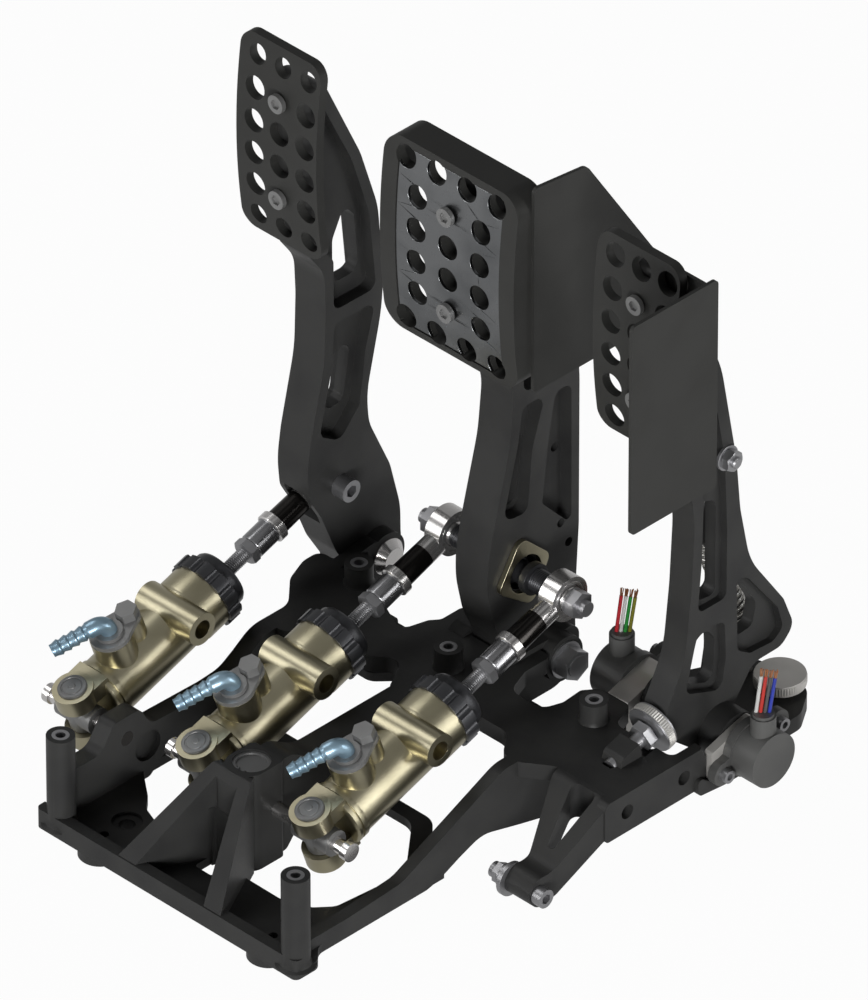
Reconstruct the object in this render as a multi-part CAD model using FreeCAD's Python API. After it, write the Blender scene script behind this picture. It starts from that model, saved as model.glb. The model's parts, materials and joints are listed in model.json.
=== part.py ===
import FreeCAD, Part
import math
import os

# Three-pedal floor-mounted pedal box: clutch, brake with balance bar, and throttle.
# Millimetres. +X to the driver's right, +Y the way the pedals are pressed, +Z up.
# The origin is the centre of the four base bolts, on the underside of the feet.

# Datums
bolt_span_x = 116.8
bolt_span_y = 200.0
post_setback = 22.4
foot_height = 5.0
front_y = -bolt_span_y / 2 - post_setback
floor_z = foot_height

# Fits and gaps
run_gap = 0.05
side_gap = 0.5
seat_gap = 0.02
free_gap = 1.0
ball_gap = 0.3

# Base casting
floor_thick = 5.0
wall_front = 7.0
wall_height = 11.3
post_span = 162.0
post_d = 14.5
post_top = 56.6
insert_d = 8.8
insert_hole_d = 5.07
insert_length = 14.0
rear_post_y = 204.0
middle_post_y = 185.0
deck_top = 45.0
deck_thick = 9.0
deck_front = 158.0
left_rail_outer = 92.0
left_rail_width = 10.0
right_rail_outer = 80.0
right_rail_width = 7.0
mid_rail_width = 16.0
brace_y = 124.0
brace_width = 8.3
bolt_hole_d = 8.4
counterbore_d = 15.5
counterbore_depth = 2.0
foot_d = 22.0
lobe_outer_x = 136.0
outer_wall = 6.0
wall_hole_d = 8.0
wall_hole_middle = 191.0
wall_hole_pitch = 39.2

# Pedal pivots, from the front posts' axis and the floor's underside
pivot_y = 237.5
pivot_z = 36.6
throttle_y = 250.0
throttle_z = 35.6
shaft_d = 12.0
cheek_r = 12.5

# Master cylinders
cylinder_x = 39.1
clutch_x = 114.1
cylinder_length = 177.0
cylinder_pitch = 18.7
pin_height = 50.5
brake_pin_back = 13.1
clutch_pin_back = 24.0
lug_d = 21.0
lug_thick = 10.0
lug_gap = 16.0
barrel_d = 32.0
head_d = 36.0
head_end = 87.0
bore_d = 19.05
bore_start = 20.0
rod_d = 7.94
spindle_d = 8.0
piston_length = 16.0
piston_at = 34.0
piston_gap = 0.55
eye_d = 24.4
eye_width = 10.0
eye_ball_d = 16.0
fork_gap = 14.4
ball_flat = 6.2
race_d = 19.4
pin_d = 8.0
outlet_at = 66.0
outlet_up = 11.0
outlet_d = 17.6
outlet_reach = 24.5
port_d = 10.0
inlet_at = 30.6
inlet_d = 21.6
inlet_top = 26.4
inlet_screw_at = 43.6
elbow_d = 8.8
elbow_tail = 23.5
elbow_bend = 5.5
elbow_turn = 98.0
rod_end_grip = 14.0
rod_end_shank = 54.0

# Pedals
clutch_arm_width = 21.0
brake_arm_width = 22.0
throttle_arm_width = 15.0
throttle_x = 113.0
rim = 5.5
web = 7.0
clutch_hub_d = 36.0
brake_hub_d = 49.0
clutch_pad_width = 55.0
clutch_pad_middle = 258.4
pad_shift = -2.0
clutch_pad_height = 114.0
pad_thick = 5.0
pad_bow = 360.0
clutch_hole_pitch_x = 17.4
clutch_hole_pitch_z = 18.7
hole_d = 12.8
brake_pad_width = 91.0
brake_pad_height = 112.0
brake_pad_x = -0.5
brake_pad_rise = 246.4
brake_pad_depth = 20.0
brake_plate_width = 70.0
guard_thick = 2.0
throttle_guard_out = 41.0
throttle_guard_ahead = 47.0
throttle_pad_width = 55.0
throttle_pad_height = 114.0
throttle_hub_d = 29.0
bar_d = 12.0
centre_ball_d = 22.0

# Throttle stops, sensors and spring
stop_pitch = 17.0
stop_d = 26.0
stop_thick = 6.0
stop_screw_d = 8.0
sensor_d = 29.4
sensor_flange = 4.8
sensor_length = 15.0
sensor_boss = 9.0
lug_left = 112.0
lug_right = 129.0
block_left = 67.0
block_left_width = 13.5
block_right = 133.6
block_right_width = 5.0
spring_x = 92.0
spring_d = 15.0
spring_ball_d = 12.0
spring_foot_y = 44.5
spring_foot_z = 27.1
spring_head_y = 18.5
spring_head_z = 94.4

x_axis = FreeCAD.Vector(1, 0, 0)
y_axis = FreeCAD.Vector(0, 1, 0)
z_axis = FreeCAD.Vector(0, 0, 1)

pedal_y = front_y + pivot_y
pedal_z = floor_z + pivot_z
throttle_pivot = FreeCAD.Vector(throttle_x, front_y + throttle_y, floor_z + throttle_z)
pitch_cos = math.cos(math.radians(cylinder_pitch))
pitch_sin = math.sin(math.radians(cylinder_pitch))
stop_cos = math.cos(math.radians(stop_pitch))
stop_sin = math.sin(math.radians(stop_pitch))


def vec(x, y, z):
    return FreeCAD.Vector(x, y, z)


def datum(points):
    """Corner points measured from the front posts' axis and the floor, as (y, z, radius)."""
    return [(front_y + p[0], floor_z + p[1]) + tuple(p[2:]) for p in points]


def plan(points):
    """Plan corner points (x, y, radius) with y measured from the front posts' axis."""
    return [(p[0], front_y + p[1]) + tuple(p[2:]) for p in points]


def about(points, y, z):
    """Corner points (dy, dz, radius) measured from a pivot at (y, z)."""
    return [(y + p[0], z + p[1]) + tuple(p[2:]) for p in points]


def rounded(points, place):
    """Closed wire through corner points, each corner rounded by its own radius."""
    count = len(points)
    ends = []
    for i in range(count):
        a, b, c = points[i - 1], points[i], points[(i + 1) % count]
        radius = b[2] if len(b) > 2 else 0
        ua, ub = a[0] - b[0], a[1] - b[1]
        va, vb = c[0] - b[0], c[1] - b[1]
        lu, lv = math.hypot(ua, ub), math.hypot(va, vb)
        cosine = max(-1.0, min(1.0, (ua * va + ub * vb) / (lu * lv)))
        half = math.acos(cosine) / 2
        if radius == 0 or half > math.pi / 2 - 0.001:
            ends.append((b[:2], None, b[:2]))
            continue
        reach = min(radius / math.tan(half), 0.49 * lu, 0.49 * lv)
        radius = reach * math.tan(half)
        start = (b[0] + ua / lu * reach, b[1] + ub / lu * reach)
        end = (b[0] + va / lv * reach, b[1] + vb / lv * reach)
        ma, mb = (start[0] + end[0]) / 2 - b[0], (start[1] + end[1]) / 2 - b[1]
        length = math.hypot(ma, mb)
        inner = radius / math.sin(half) - radius
        middle = (b[0] + ma / length * inner, b[1] + mb / length * inner)
        ends.append((start, middle, end))
    edges = []
    for i in range(count):
        start, middle, end = ends[i]
        if middle:
            edges.append(Part.Arc(place(*start), place(*middle), place(*end)).toShape())
        following = ends[(i + 1) % count][0]
        if math.hypot(following[0] - end[0], following[1] - end[1]) > 0.001:
            edges.append(Part.LineSegment(place(*end), place(*following)).toShape())
    return Part.Wire(edges)


def prism_x(points, x0, x1):
    wire = rounded(points, lambda a, b: vec(x0, a, b))
    return Part.Face(wire).extrude(vec(x1 - x0, 0, 0))


def prism_y(points, y0, y1):
    wire = rounded(points, lambda a, b: vec(a, y0, b))
    return Part.Face(wire).extrude(vec(0, y1 - y0, 0))


def prism_z(points, z0, z1):
    wire = rounded(points, lambda a, b: vec(a, b, z0))
    return Part.Face(wire).extrude(vec(0, 0, z1 - z0))


def box(x0, x1, y0, y1, z0, z1):
    return Part.makeBox(x1 - x0, y1 - y0, z1 - z0, vec(x0, y0, z0))


def rod(radius, start, end):
    along = end.sub(start)
    return Part.makeCylinder(radius, along.Length, start, along)


def rod_x(radius, x0, x1, y, z):
    return Part.makeCylinder(radius, x1 - x0, vec(x0, y, z), x_axis)


def rod_z(radius, x, y, z0, z1):
    return Part.makeCylinder(radius, z1 - z0, vec(x, y, z0), z_axis)


def hexagon(flats, length, start, direction):
    """Hexagonal prism with its flats that far apart."""
    radius = flats / 2 / math.cos(math.pi / 6)
    points = [vec(radius * math.cos(k * math.pi / 3), radius * math.sin(k * math.pi / 3), 0) for k in range(6)]
    solid = Part.Face(Part.makePolygon(points + points[:1])).extrude(vec(0, 0, length))
    solid.Placement = FreeCAD.Placement(start, FreeCAD.Rotation(z_axis, direction))
    return solid


def socket_screw(head_d, head_length, shank_d, shank_length, start, direction):
    """Socket-head screw: the head rises from start along direction, the shank goes the other way."""
    unit = vec(direction.x, direction.y, direction.z).normalize()
    head = Part.makeCylinder(head_d / 2, head_length, start, unit)
    shank = Part.makeCylinder(shank_d / 2, shank_length, start - unit * shank_length, unit)
    socket_depth = head_length * 0.6
    socket = hexagon(head_d * 0.5, socket_depth, start + unit * (head_length - socket_depth), unit)
    return head.cut(socket).fuse(shank)


def revolve(profile, start, direction):
    """Solid of revolution from (along, radius) points about a line."""
    points = [vec(p[1], 0, p[0]) for p in profile]
    face = Part.Face(Part.makePolygon(points + points[:1]))
    solid = face.revolve(vec(0, 0, 0), z_axis, 360)
    solid.Placement = FreeCAD.Placement(start, FreeCAD.Rotation(z_axis, direction))
    return solid


def inset(points, distance):
    """The polygon moved inwards by a distance on every side, corners keeping their radii."""
    count = len(points)
    area = sum(points[i - 1][0] * points[i][1] - points[i][0] * points[i - 1][1] for i in range(count))
    turn = 1 if area > 0 else -1
    lines = []
    for i in range(count):
        a, b = points[i], points[(i + 1) % count]
        length = math.hypot(b[0] - a[0], b[1] - a[1])
        normal = (-(b[1] - a[1]) / length * turn, (b[0] - a[0]) / length * turn)
        lines.append((normal, normal[0] * a[0] + normal[1] * a[1] + distance))
    moved = []
    for i in range(count):
        (n1, c1), (n2, c2) = lines[i - 1], lines[i]
        cross = n1[0] * n2[1] - n1[1] * n2[0]
        radius = points[i][2] if len(points[i]) > 2 else 0
        if abs(cross) < 1e-6:
            moved.append((points[i][0] + n2[0] * distance, points[i][1] + n2[1] * distance, radius))
            continue
        moved.append(((c1 * n2[1] - c2 * n1[1]) / cross, (n1[0] * c2 - n2[0] * c1) / cross, radius))
    return moved


def fuse(shapes):
    result = shapes[0].multiFuse(shapes[1:]) if len(shapes) > 1 else shapes[0]
    return result.removeSplitter()


def export(node, shapes):
    """One STEP per node; several solids of one node go out as a compound."""
    solids = []
    for shape in shapes if isinstance(shapes, list) else [shapes]:
        solids += shape.Solids
    whole = solids[0] if len(solids) == 1 else Part.makeCompound(solids)
    whole.exportStep("parts/" + node + ".step")
    print(node, len(solids), round(sum(s.Volume for s in solids)), whole.isValid())


# Places that follow from the datums

def pin_point(back):
    return vec(0, pedal_y - back, pedal_z + pin_height)


def tail_point(back):
    pin = pin_point(back)
    return vec(0, pin.y - cylinder_length * pitch_cos, pin.z - cylinder_length * pitch_sin)


brake_tail = tail_point(brake_pin_back)
clutch_tail = tail_point(clutch_pin_back)


def on_cylinder(shape, x, tail):
    """Moves a piece from the cylinder's own frame, along +Y from its tail pivot, to its place."""
    turned = shape.copy()
    turned.rotate(vec(0, 0, 0), x_axis, cylinder_pitch)
    turned.translate(vec(x, tail.y, tail.z))
    return turned


# Base

def boss(x, y, z0, z1, d, flare):
    """Round boss with a flared root and a blind hole for its threaded insert."""
    profile = [(0, 0), (0, d / 2 + flare), (flare * 0.3, d / 2 + flare * 0.3), (flare, d / 2)]
    profile += [(z1 - z0, d / 2), (z1 - z0, 0)]
    return revolve(profile, vec(x, y, z0), z_axis)


def post_places():
    """Centres and bottoms of the five posts that hold threaded inserts."""
    half = post_span / 2
    rear = front_y + rear_post_y
    deck = floor_z + deck_top
    floor = floor_z + floor_thick
    return [(-half, front_y, floor), (half, front_y, floor), (-half, rear, deck), (half, rear, deck),
            (0, front_y + middle_post_y, deck)]


def bolt_places():
    half_x, half_y = bolt_span_x / 2, bolt_span_y / 2
    return [(sx * half_x, sy * half_y) for sx in (-1, 1) for sy in (-1, 1)]


def base_floor():
    """Front floor, its upstand, the strips beside both rails, the cross brace and the rear bar."""
    left, right = -left_rail_outer, right_rail_outer
    low, high = floor_z, floor_z + floor_thick
    front = -wall_front
    outline = plan([(left, front, 11), (right + 8, front, 6), (right + 8, 8, 6), (right, 16, 8), (right, 84, 2),
                    (right - right_rail_width - 6, 84, 3), (63, 45, 8), (55, 35.7, 8), (40, 30.3, 12),
                    (-46, 31, 12), (-59, 36, 8), (-66, 44, 8), (left + 8, 58, 10),
                    (left + 8, 104, 8), (-64, 116, 8), (-64, brace_y + 20, 3), (left, brace_y + 20, 2)])
    floor = prism_z(outline, low, high)
    slot = prism_z(plan([(-9, 20, 2), (3, 20, 2), (3, 33, 2), (-9, 33, 2)]), low - 1, high + 1)
    floor = floor.cut(slot)
    upstand = prism_z(plan([(left, front, 11), (right + 8, front, 6), (right + 8, -0.5), (left, -0.5)]),
                      low, low + wall_height)
    brace = prism_z(plan([(-70, brace_y - brace_width / 2), (40, brace_y - brace_width / 2, 12), (64, brace_y - 32, 8),
                          (right - 1, brace_y - 40), (right - 1, brace_y - 21), (70, brace_y - 20, 6),
                          (46, brace_y + brace_width / 2, 12), (-70, brace_y + brace_width / 2)]), low, high)
    rear_y = bolt_span_y / 2
    rear = prism_z([(left + 2, rear_y - 30, 6), (-62, rear_y - 30, 8), (-44, rear_y - 11, 10), (44, rear_y - 11, 10),
                    (60, rear_y - 30, 8), (right, rear_y - 30, 4), (right, rear_y + 10, 6), (left + 2, rear_y + 10, 6)],
                   low, high)
    return [floor, upstand, brace, rear] + [foot(x, y) for x, y in bolt_places()]


def foot(x, y):
    """Pad under a base bolt; the front ones run on to the front wall."""
    half = foot_d / 2
    ahead = y - half if y > 0 else front_y - wall_front
    return prism_z([(x - half, ahead, half), (x + half, ahead, half), (x + half, y + half, half),
                    (x - half, y + half, half)], 0, floor_z + 1)


def base_rails():
    """Arched side rails and the middle rail, from the floor up to the deck."""
    deck = deck_top
    tail_y = clutch_tail.y - front_y
    spindle_boss = (clutch_tail.z - floor_z) + 13
    left = prism_x(datum([(5, 0, 2), (61, 0, 4), (70, 8, 6), (84, 15, 20), (142, 15, 20), (168, 4, 6),
                          (176, 0, 4), (232, 0, 4), (232, 8, 4), (206, deck - 12, 10), (206, deck), (140, deck, 20),
                          (128, 37, 20), (118, 31, 20), (104, 30, 30), (tail_y + 16, 31, 8), (tail_y + 9, spindle_boss, 6),
                          (tail_y - 9, spindle_boss, 6), (tail_y - 18, 30, 8), (8, 30, 3), (5, wall_height, 3)]), -left_rail_outer, -left_rail_outer + left_rail_width)
    right = prism_x(datum([(-2, 0, 2), (90, 0, 6), (99, 2, 10), (112.5, 8, 20), (128, 13.8, 20), (154, 6.6, 10),
                           (168, 3, 6), (176, 0, 4), (232, 0, 4), (232, 8, 4), (222, deck - 12, 10), (222, deck),
                           (143, deck, 20), (73, 13.3, 20), (37, 11.3, 10), (-2, wall_height, 2)]),
                    right_rail_outer - right_rail_width, right_rail_outer)
    pillar_back = brake_tail.y - front_y + 5
    half = mid_rail_width / 2
    middle = prism_x(datum([(pillar_back, 0), (pillar_back + 4, 0, 4), (pillar_back + 14, 12, 12),
                            (pillar_back + 40, 16, 30), (deck_front - 24, 16, 20), (deck_front - 8, 0, 6),
                            (deck_front + 12, 0, 4), (deck_front + 16, deck - 12, 6), (deck_front + 16, deck),
                            (pillar_back + 24, deck, 20), (pillar_back + 8, deck + 10, 12), (pillar_back, deck + 10)]),
                     -half, half)
    return [left, right, middle]


def base_pillar():
    """Pillar that carries the brake cylinders' spindle, with two sloping gusset arms to the front wall."""
    y, z = brake_tail.y - front_y, brake_tail.z - floor_z
    top = z + 26.6
    pillar = prism_z(plan([(-11, y - 20, 10), (11, y - 20, 10), (11, y + 5.5, 3), (-11, y + 5.5, 3)]),
                     floor_z, floor_z + top)
    slope = prism_x(datum([(-wall_front + 1, 0), (y - 16, 0), (y - 16, top), (y - 20, top, 3),
                           (-wall_front + 1, wall_height)]), -40, 40)
    spread = [(35.3, -wall_front + 1), (23.5, -wall_front + 1), (6.0, y - 21), (10.9, y - 16)]
    right_arm = prism_z(plan(spread), floor_z, floor_z + top)
    left_arm = prism_z(plan([(-p[0], p[1]) for p in spread]), floor_z, floor_z + top)
    cap = prism_z(plan([(-9, y - 24, 4), (9, y - 24, 4), (9, y - 10), (-9, y - 10)]), floor_z, floor_z + top)
    arms = right_arm.fuse(left_arm).fuse(cap).common(slope)
    web_gap = prism_x(datum([(y - 42, -1), (y - 26, -1), (y - 22, top - 16, 6), (y - 34, top - 30, 4)]), -9, 9)
    recess = rod_z(9.55, 0, brake_tail.y - 6.5, floor_z + top - 4, floor_z + top + 1)
    return pillar.fuse(arms).cut(web_gap).cut(recess)


def base_deck():
    """Deck plate with its three lobes, the outer wall of the throttle lobe and the pedal cheeks."""
    low, high = floor_z + deck_top - deck_thick, floor_z + deck_top
    pivot = pivot_y
    cheek_x = clutch_x - clutch_arm_width / 2 - side_gap
    arm_front = pivot - clutch_hub_d / 2 - 11
    slot = brake_arm_width / 2 + side_gap
    brake_front = pivot - brake_hub_d / 2 - 2
    outline = plan([(-92, deck_front - 10, 6), (-92, 166, 12), (-107, 182, 14), (-113, 197, 14), (-113, arm_front, 5),
                    (-cheek_x, arm_front, 2), (-cheek_x, pivot - 6), (-cheek_x + 7.6, pivot - 13),
                    (-cheek_x + 14, 220, 6), (-72, 207, 10), (-60, 200, 10), (-50, 195, 14), (-38, 190, 5),
                    (-34, 205, 5), (-30, 210, 5), (-30, 226, 4), (-slot, 226), (-slot, brake_front, 3),
                    (slot, brake_front, 3), (slot, 226), (30, 226, 4), (30, 208, 6), (36, 192, 8), (57, 191, 8),
                    (61, 203, 6), (60, 216, 3), (66, 224, 4), (86, 224, 4), (92, 208, 6), (130, 208, 4), (130, 224),
                    (lobe_outer_x, 224, 3), (lobe_outer_x, 163, 4),
                    (96, 163, 8), (80, deck_front - 6, 8), (70, deck_front - 6, 8), (60, 166, 10), (16, 166, 12),
                    (8, deck_front - 6, 4), (-8, deck_front - 6, 4), (-20, 174, 10), (-34, deck_front + 4, 10),
                    (-62, deck_front + 4, 10), (-78, deck_front - 10, 8)])
    plate = prism_z(outline, low, high)
    outer = prism_x(datum([(156, 22, 3), (226, 22, 3), (226, 39, 2), (222, deck_top), (156, deck_top, 4)]),
                    lobe_outer_x - outer_wall, lobe_outer_x)
    clutch_cheek = prism_x(datum([(198, 22, 4), (pivot - 4, pivot_z - cheek_r + 0.5, 4), (pivot, pivot_z), (pivot - 5, deck_top + 4, 6),
                                  (198, deck_top - 1, 4)]), -cheek_x, -cheek_x + 7.6)
    clutch_boss = rod_x(cheek_r, -cheek_x, -cheek_x + 7.6, pedal_y, pedal_z)
    brake_cheek = datum([(206, 17, 4), (pivot, 17, 16), (pivot + 16, 24, 14), (pivot + 16, pivot_z + 12, 16),
                         (pivot, 48, 10), (212, 48, 4), (206, deck_top, 2)])
    cheeks = [prism_x(brake_cheek, slot, slot + 10.5), prism_x(brake_cheek, -slot - 10.5, -slot)]
    cheeks.append(rod_x(cheek_r, slot, 28, pedal_y, pedal_z))
    cheeks.append(rod_x(cheek_r, -28, -slot, pedal_y, pedal_z))
    return [plate, outer, clutch_cheek, clutch_boss] + cheeks


def base_throttle_seat():
    """Beams under the two bearing blocks, the rear platform and the V-shaped leg to the front lug."""
    y, z = throttle_y, throttle_z
    low = z - throttle_hub_d / 2 - 3
    rear_left = datum([(218, deck_top - 14, 2), (218, 20, 3), (y - 14, low, 6), (y + 20, low, 4), (y + 20, z - 11.6),
                       (y - 22, z - 11.6)])
    beams = [prism_x(rear_left, block_left + 0.4, block_left + block_left_width),
             prism_x(rear_left, block_right, block_right + block_right_width)]
    platform = prism_z(plan([(block_left + 0.4, y + 17, 1), (block_right + block_right_width, y + 17, 1), (lobe_outer_x + 2, 290, 10),
                             (126, 308, 12), (88, 308, 12), (block_left + 6, 276, 8)]), floor_z + z - 11.6, floor_z + z - 2.6)
    platform = fuse([platform, prism_z(plan([(block_left + 0.4, y + 15.5, 1), (block_right + block_right_width, y + 15.5, 1),
                                             (block_right + block_right_width, y + 22, 1), (block_left + 0.4, y + 22, 1)]),
                                       floor_z + low, floor_z + z - 8)])
    leg_side = prism_x(datum([(172, deck_top, 6), (160, deck_top, 10), (127, 17, 14), (117, 18, 8), (109, 9, 8), (117, 0, 8),
                              (128, 2, 10), (158, 25, 14), (172, 25, 6)]), 92, lobe_outer_x)
    tip = prism_z(plan([(lug_left, 108, 2), (lug_right, 108, 2), (lug_right, 127, 6), (lobe_outer_x, 160, 4),
                        (lobe_outer_x, 172), (96, 172), (98, 158, 8), (lug_left, 128, 8)]), floor_z - 1, floor_z + deck_top + 1)
    gap = prism_z(plan([(118, 134, 3), (122, 134, 3), (127, 161, 4), (110, 161, 4)]), floor_z - 2, floor_z + deck_top + 2)
    leg = leg_side.common(tip).cut(gap)
    lug_hole = rod_x(4.2, 90, 140, front_y + 117, floor_z + 9)
    return beams + [platform, leg.cut(lug_hole)]


def stop_point(distance):
    """Point on the front stop screw's axis, that far ahead of its contact face."""
    face_y, face_z = throttle_pivot.y - 34.7, throttle_pivot.z + 17.4
    return vec(throttle_x, face_y - distance * stop_cos, face_z - distance * stop_sin)


def stop_lug():
    rear, front = stop_point(18.1), stop_point(32)
    rise = 4.8
    points = [(rear.y, rear.z + rise + 1), (front.y, front.z + rise + 1, 4), (front.y - 2, front.z - 2, 2),
              (rear.y, floor_z + deck_top - 2)]
    return prism_x(points, throttle_x - 6.5, throttle_x + 6.5)


def rear_stop_place():
    return vec(throttle_x + 2, throttle_pivot.y + 49, floor_z + throttle_z - 2.6)


def base_frame():
    body = fuse(base_floor() + base_rails() + [base_pillar()] + base_deck() + base_throttle_seat() + [stop_lug()])
    for x, y, z0 in post_places():
        body = body.fuse(boss(x, y, z0 - 1, floor_z + post_top, post_d, 3))
    cuts = []
    for x, y, z0 in post_places():
        top = floor_z + post_top
        cuts.append(rod_z(insert_d / 2 + seat_gap, x, y, top - insert_length, top + 1))
    for x, y in bolt_places():
        cuts.append(rod_z(bolt_hole_d / 2, x, y, -1, floor_z + floor_thick + 1))
        cuts.append(rod_z(counterbore_d / 2, x, y, floor_z + floor_thick - counterbore_depth, floor_z + floor_thick + 1))
    for side in (-1, 1):
        cuts.append(rod_z(2.4, side * bolt_span_x / 2, front_y + post_setback - 15.4, floor_z - 1, floor_z + floor_thick + 1))
    for y in (wall_hole_middle - wall_hole_pitch / 2, wall_hole_middle + wall_hole_pitch / 2):
        cuts.append(rod_x(wall_hole_d / 2, lobe_outer_x - 20, lobe_outer_x + 1, front_y + y, floor_z + 34))
    cuts.append(rod_x(spindle_d / 2 + seat_gap, -12, 12, brake_tail.y, brake_tail.z))
    cuts.append(rod_x(spindle_d / 2 + seat_gap, -left_rail_outer - 1, -left_rail_outer + left_rail_width + 1,
                      clutch_tail.y, clutch_tail.z))
    cuts.append(rod_x(shaft_d / 2 + seat_gap, -clutch_x, -clutch_x + 30, pedal_y, pedal_z))
    cuts.append(rod_x(shaft_d / 2 + seat_gap, -30, 30, pedal_y, pedal_z))
    cuts.append(rod(stop_screw_d / 2 + seat_gap, stop_point(36), stop_point(0)))
    cuts.append(rod(8.4, stop_point(18.1), stop_point(0)))
    cuts.append(rod(stop_d / 2 + free_gap, stop_point(stop_thick + 0.5), stop_point(-8)))
    cuts.append(rod_x(brake_hub_d / 2 + free_gap, -brake_arm_width / 2 - side_gap, brake_arm_width / 2 + side_gap,
                      pedal_y, pedal_z))
    place = rear_stop_place()
    cuts.append(rod_z(stop_screw_d / 2 + seat_gap, place.x, place.y, place.z - 12, place.z + 1))
    cuts.append(rod_x(spindle_d + 0.5, -left_rail_outer + left_rail_width - 2.5, -left_rail_outer + left_rail_width + 1,
                      clutch_tail.y + 14, clutch_tail.z - 11.4))
    return body.cut(Part.makeCompound(cuts))


def post_inserts():
    """Steel threaded inserts, flush with the tops of the five posts."""
    made = []
    for x, y, z0 in post_places():
        top = floor_z + post_top
        sleeve = rod_z(insert_d / 2, x, y, top - insert_length, top)
        made.append(sleeve.cut(rod_z(insert_hole_d / 2, x, y, top - insert_length + 2, top + 1)))
    return made


def pillar_plug():
    """Disc in the pillar's recess, held by a snap ring with two lugs."""
    y = brake_tail.y - 6.5
    z = floor_z + (brake_tail.z - floor_z) + 26.6 - 4
    disc = rod_z(9.5, 0, y, z, z + 1.6)
    ring = rod_z(9.5, 0, y, z + 1.6, z + 2.8).cut(rod_z(7.9, 0, y, z + 1, z + 4))
    gap = box(-1.6, 1.6, y - 10, y, z + 1, z + 4)
    lugs = [rod_z(1.5, side * 2.9, y - 7.2, z + 1.6, z + 2.8).cut(rod_z(0.6, side * 2.9, y - 7.2, z + 1, z + 4))
            for side in (-1, 1)]
    return fuse([disc, ring.cut(gap)] + lugs)


def cylinder_spindles():
    """Spindles that the master cylinders swing on: one through the pillar, one from the left rail."""
    reach = cylinder_x + 23
    cap = 4.0
    brake = rod_x(spindle_d / 2, -reach, reach, brake_tail.y, brake_tail.z)
    for side in (-1, 1):
        start = vec(side * (reach - cap), brake_tail.y, brake_tail.z)
        head = Part.makeCylinder(5, cap, start, vec(side, 0, 0))
        brake = brake.fuse(head.cut(hexagon(5, 2.5, start + vec(side * 1.6, 0, 0), vec(side, 0, 0))))
    outer = -clutch_x - 23
    clutch = rod_x(spindle_d / 2, outer, -left_rail_outer + left_rail_width, clutch_tail.y, clutch_tail.z)
    head = rod_x(5, outer, outer + cap, clutch_tail.y, clutch_tail.z)
    head = head.cut(hexagon(5, 2.5, vec(outer + 2.4, clutch_tail.y, clutch_tail.z), vec(-1, 0, 0)))
    return [brake, clutch.fuse(head)]


def leg_screw():
    """Flanged bush, socket screw and nut in the front lug of the V-shaped leg."""
    y, z = front_y + 117, floor_z + 9
    screw = socket_screw(10, 5.5, 8.36, lug_right - lug_left + 13, vec(lug_right + 0.2, y, z), x_axis)
    bush = rod_x(9, lug_left - 2.6, lug_left - 0.2, y, z).fuse(rod_x(6.5, lug_left - 5.6, lug_left - 2.6, y, z))
    nut = hexagon(10, 4, vec(lug_left - 9.6, y, z), x_axis)
    return fuse([screw, bush, nut])


def clutch_pivot_bolt():
    """Shoulder bolt through the clutch cheek, with the arm's hub on its outer end and a dished chrome nut."""
    cheek = -(clutch_x - clutch_arm_width / 2 - side_gap)
    outer = -clutch_x - clutch_arm_width / 2
    shaft = rod_x(shaft_d / 2, outer - 3.3, cheek + 7.6, pedal_y, pedal_z)
    washer = rod_x(9, outer - 3.3, outer - 0.3, pedal_y, pedal_z)
    face = cheek + 7.6
    profile = [(0, 0), (0, 9.9), (1.4, 9.9), (5.5, 6.2), (5.5, 0)]
    nut = revolve(profile, vec(face, pedal_y, pedal_z), x_axis)
    return fuse([shaft, washer, nut])


def brake_pivot_bolt():
    """Bolt through both brake cheeks, with its washer and nut."""
    bolt = rod_x(shaft_d / 2, -28, 37.4, pedal_y, pedal_z)
    washer = rod_x(10, 28, 29.2, pedal_y, pedal_z)
    nut = hexagon(15, 7.6, vec(29.2, pedal_y, pedal_z), x_axis)
    head = hexagon(15, 6, vec(-28, pedal_y, pedal_z), vec(-1, 0, 0))
    return fuse([bolt, washer, nut, head])


# Master cylinders, each in its own frame: tail pivot at the origin, rod along +Y, +Z away from the floor

def cylinder_body():
    """Gold-anodised body: forked tail, barrel, head, outlet boss along X and inlet boss on top."""
    half = lug_gap / 2
    lugs = rod_z(lug_d / 2, 0, 0, -half - lug_thick, half + lug_thick)
    neck = box(-lug_d / 2 + 1, lug_d / 2 - 1, 0, 15, -half - lug_thick + 1, half + lug_thick - 1)
    gap = box(-20, 20, -20, 11.5, -half, half)
    fork = lugs.fuse(neck).cut(gap)
    barrel_r, head_r = barrel_d / 2, head_d / 2
    profile = [(11.5, 0), (11.5, 15), (12.5, 16.8), (14.4, 16.8), (14.4, 15.8), (15.6, 15.8), (15.6, 16.8),
               (18.5, 16.8), (19.5, barrel_r), (72, barrel_r), (75, head_r), (head_end, head_r), (head_end, 0)]
    shell = revolve(profile, vec(0, 0, 0), y_axis)
    outlet = Part.makeCylinder(outlet_d / 2, outlet_reach + 14, vec(-14, outlet_at, outlet_up), x_axis)
    inlet = rod_z(inlet_d / 2, 0, inlet_at, 0, inlet_top)
    tie = rod_z(6.5, 0, inlet_screw_at, 0, inlet_top)
    saddle = box(-5, 5, inlet_at, inlet_screw_at, 0, inlet_top - 3)
    body = fuse([fork, shell, outlet, inlet, tie, saddle])
    bore = Part.makeCylinder(bore_d / 2, head_end - bore_start + 1, vec(0, bore_start, 0), y_axis)
    port = Part.makeCylinder(port_d / 2, 13, vec(outlet_reach - 12, outlet_at, outlet_up), x_axis)
    tail_pin = rod_z(5 + seat_gap, 0, 0, -half - lug_thick - 1, half + lug_thick + 1)
    return body.cut(Part.makeCompound([bore, port, tail_pin]))


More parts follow.
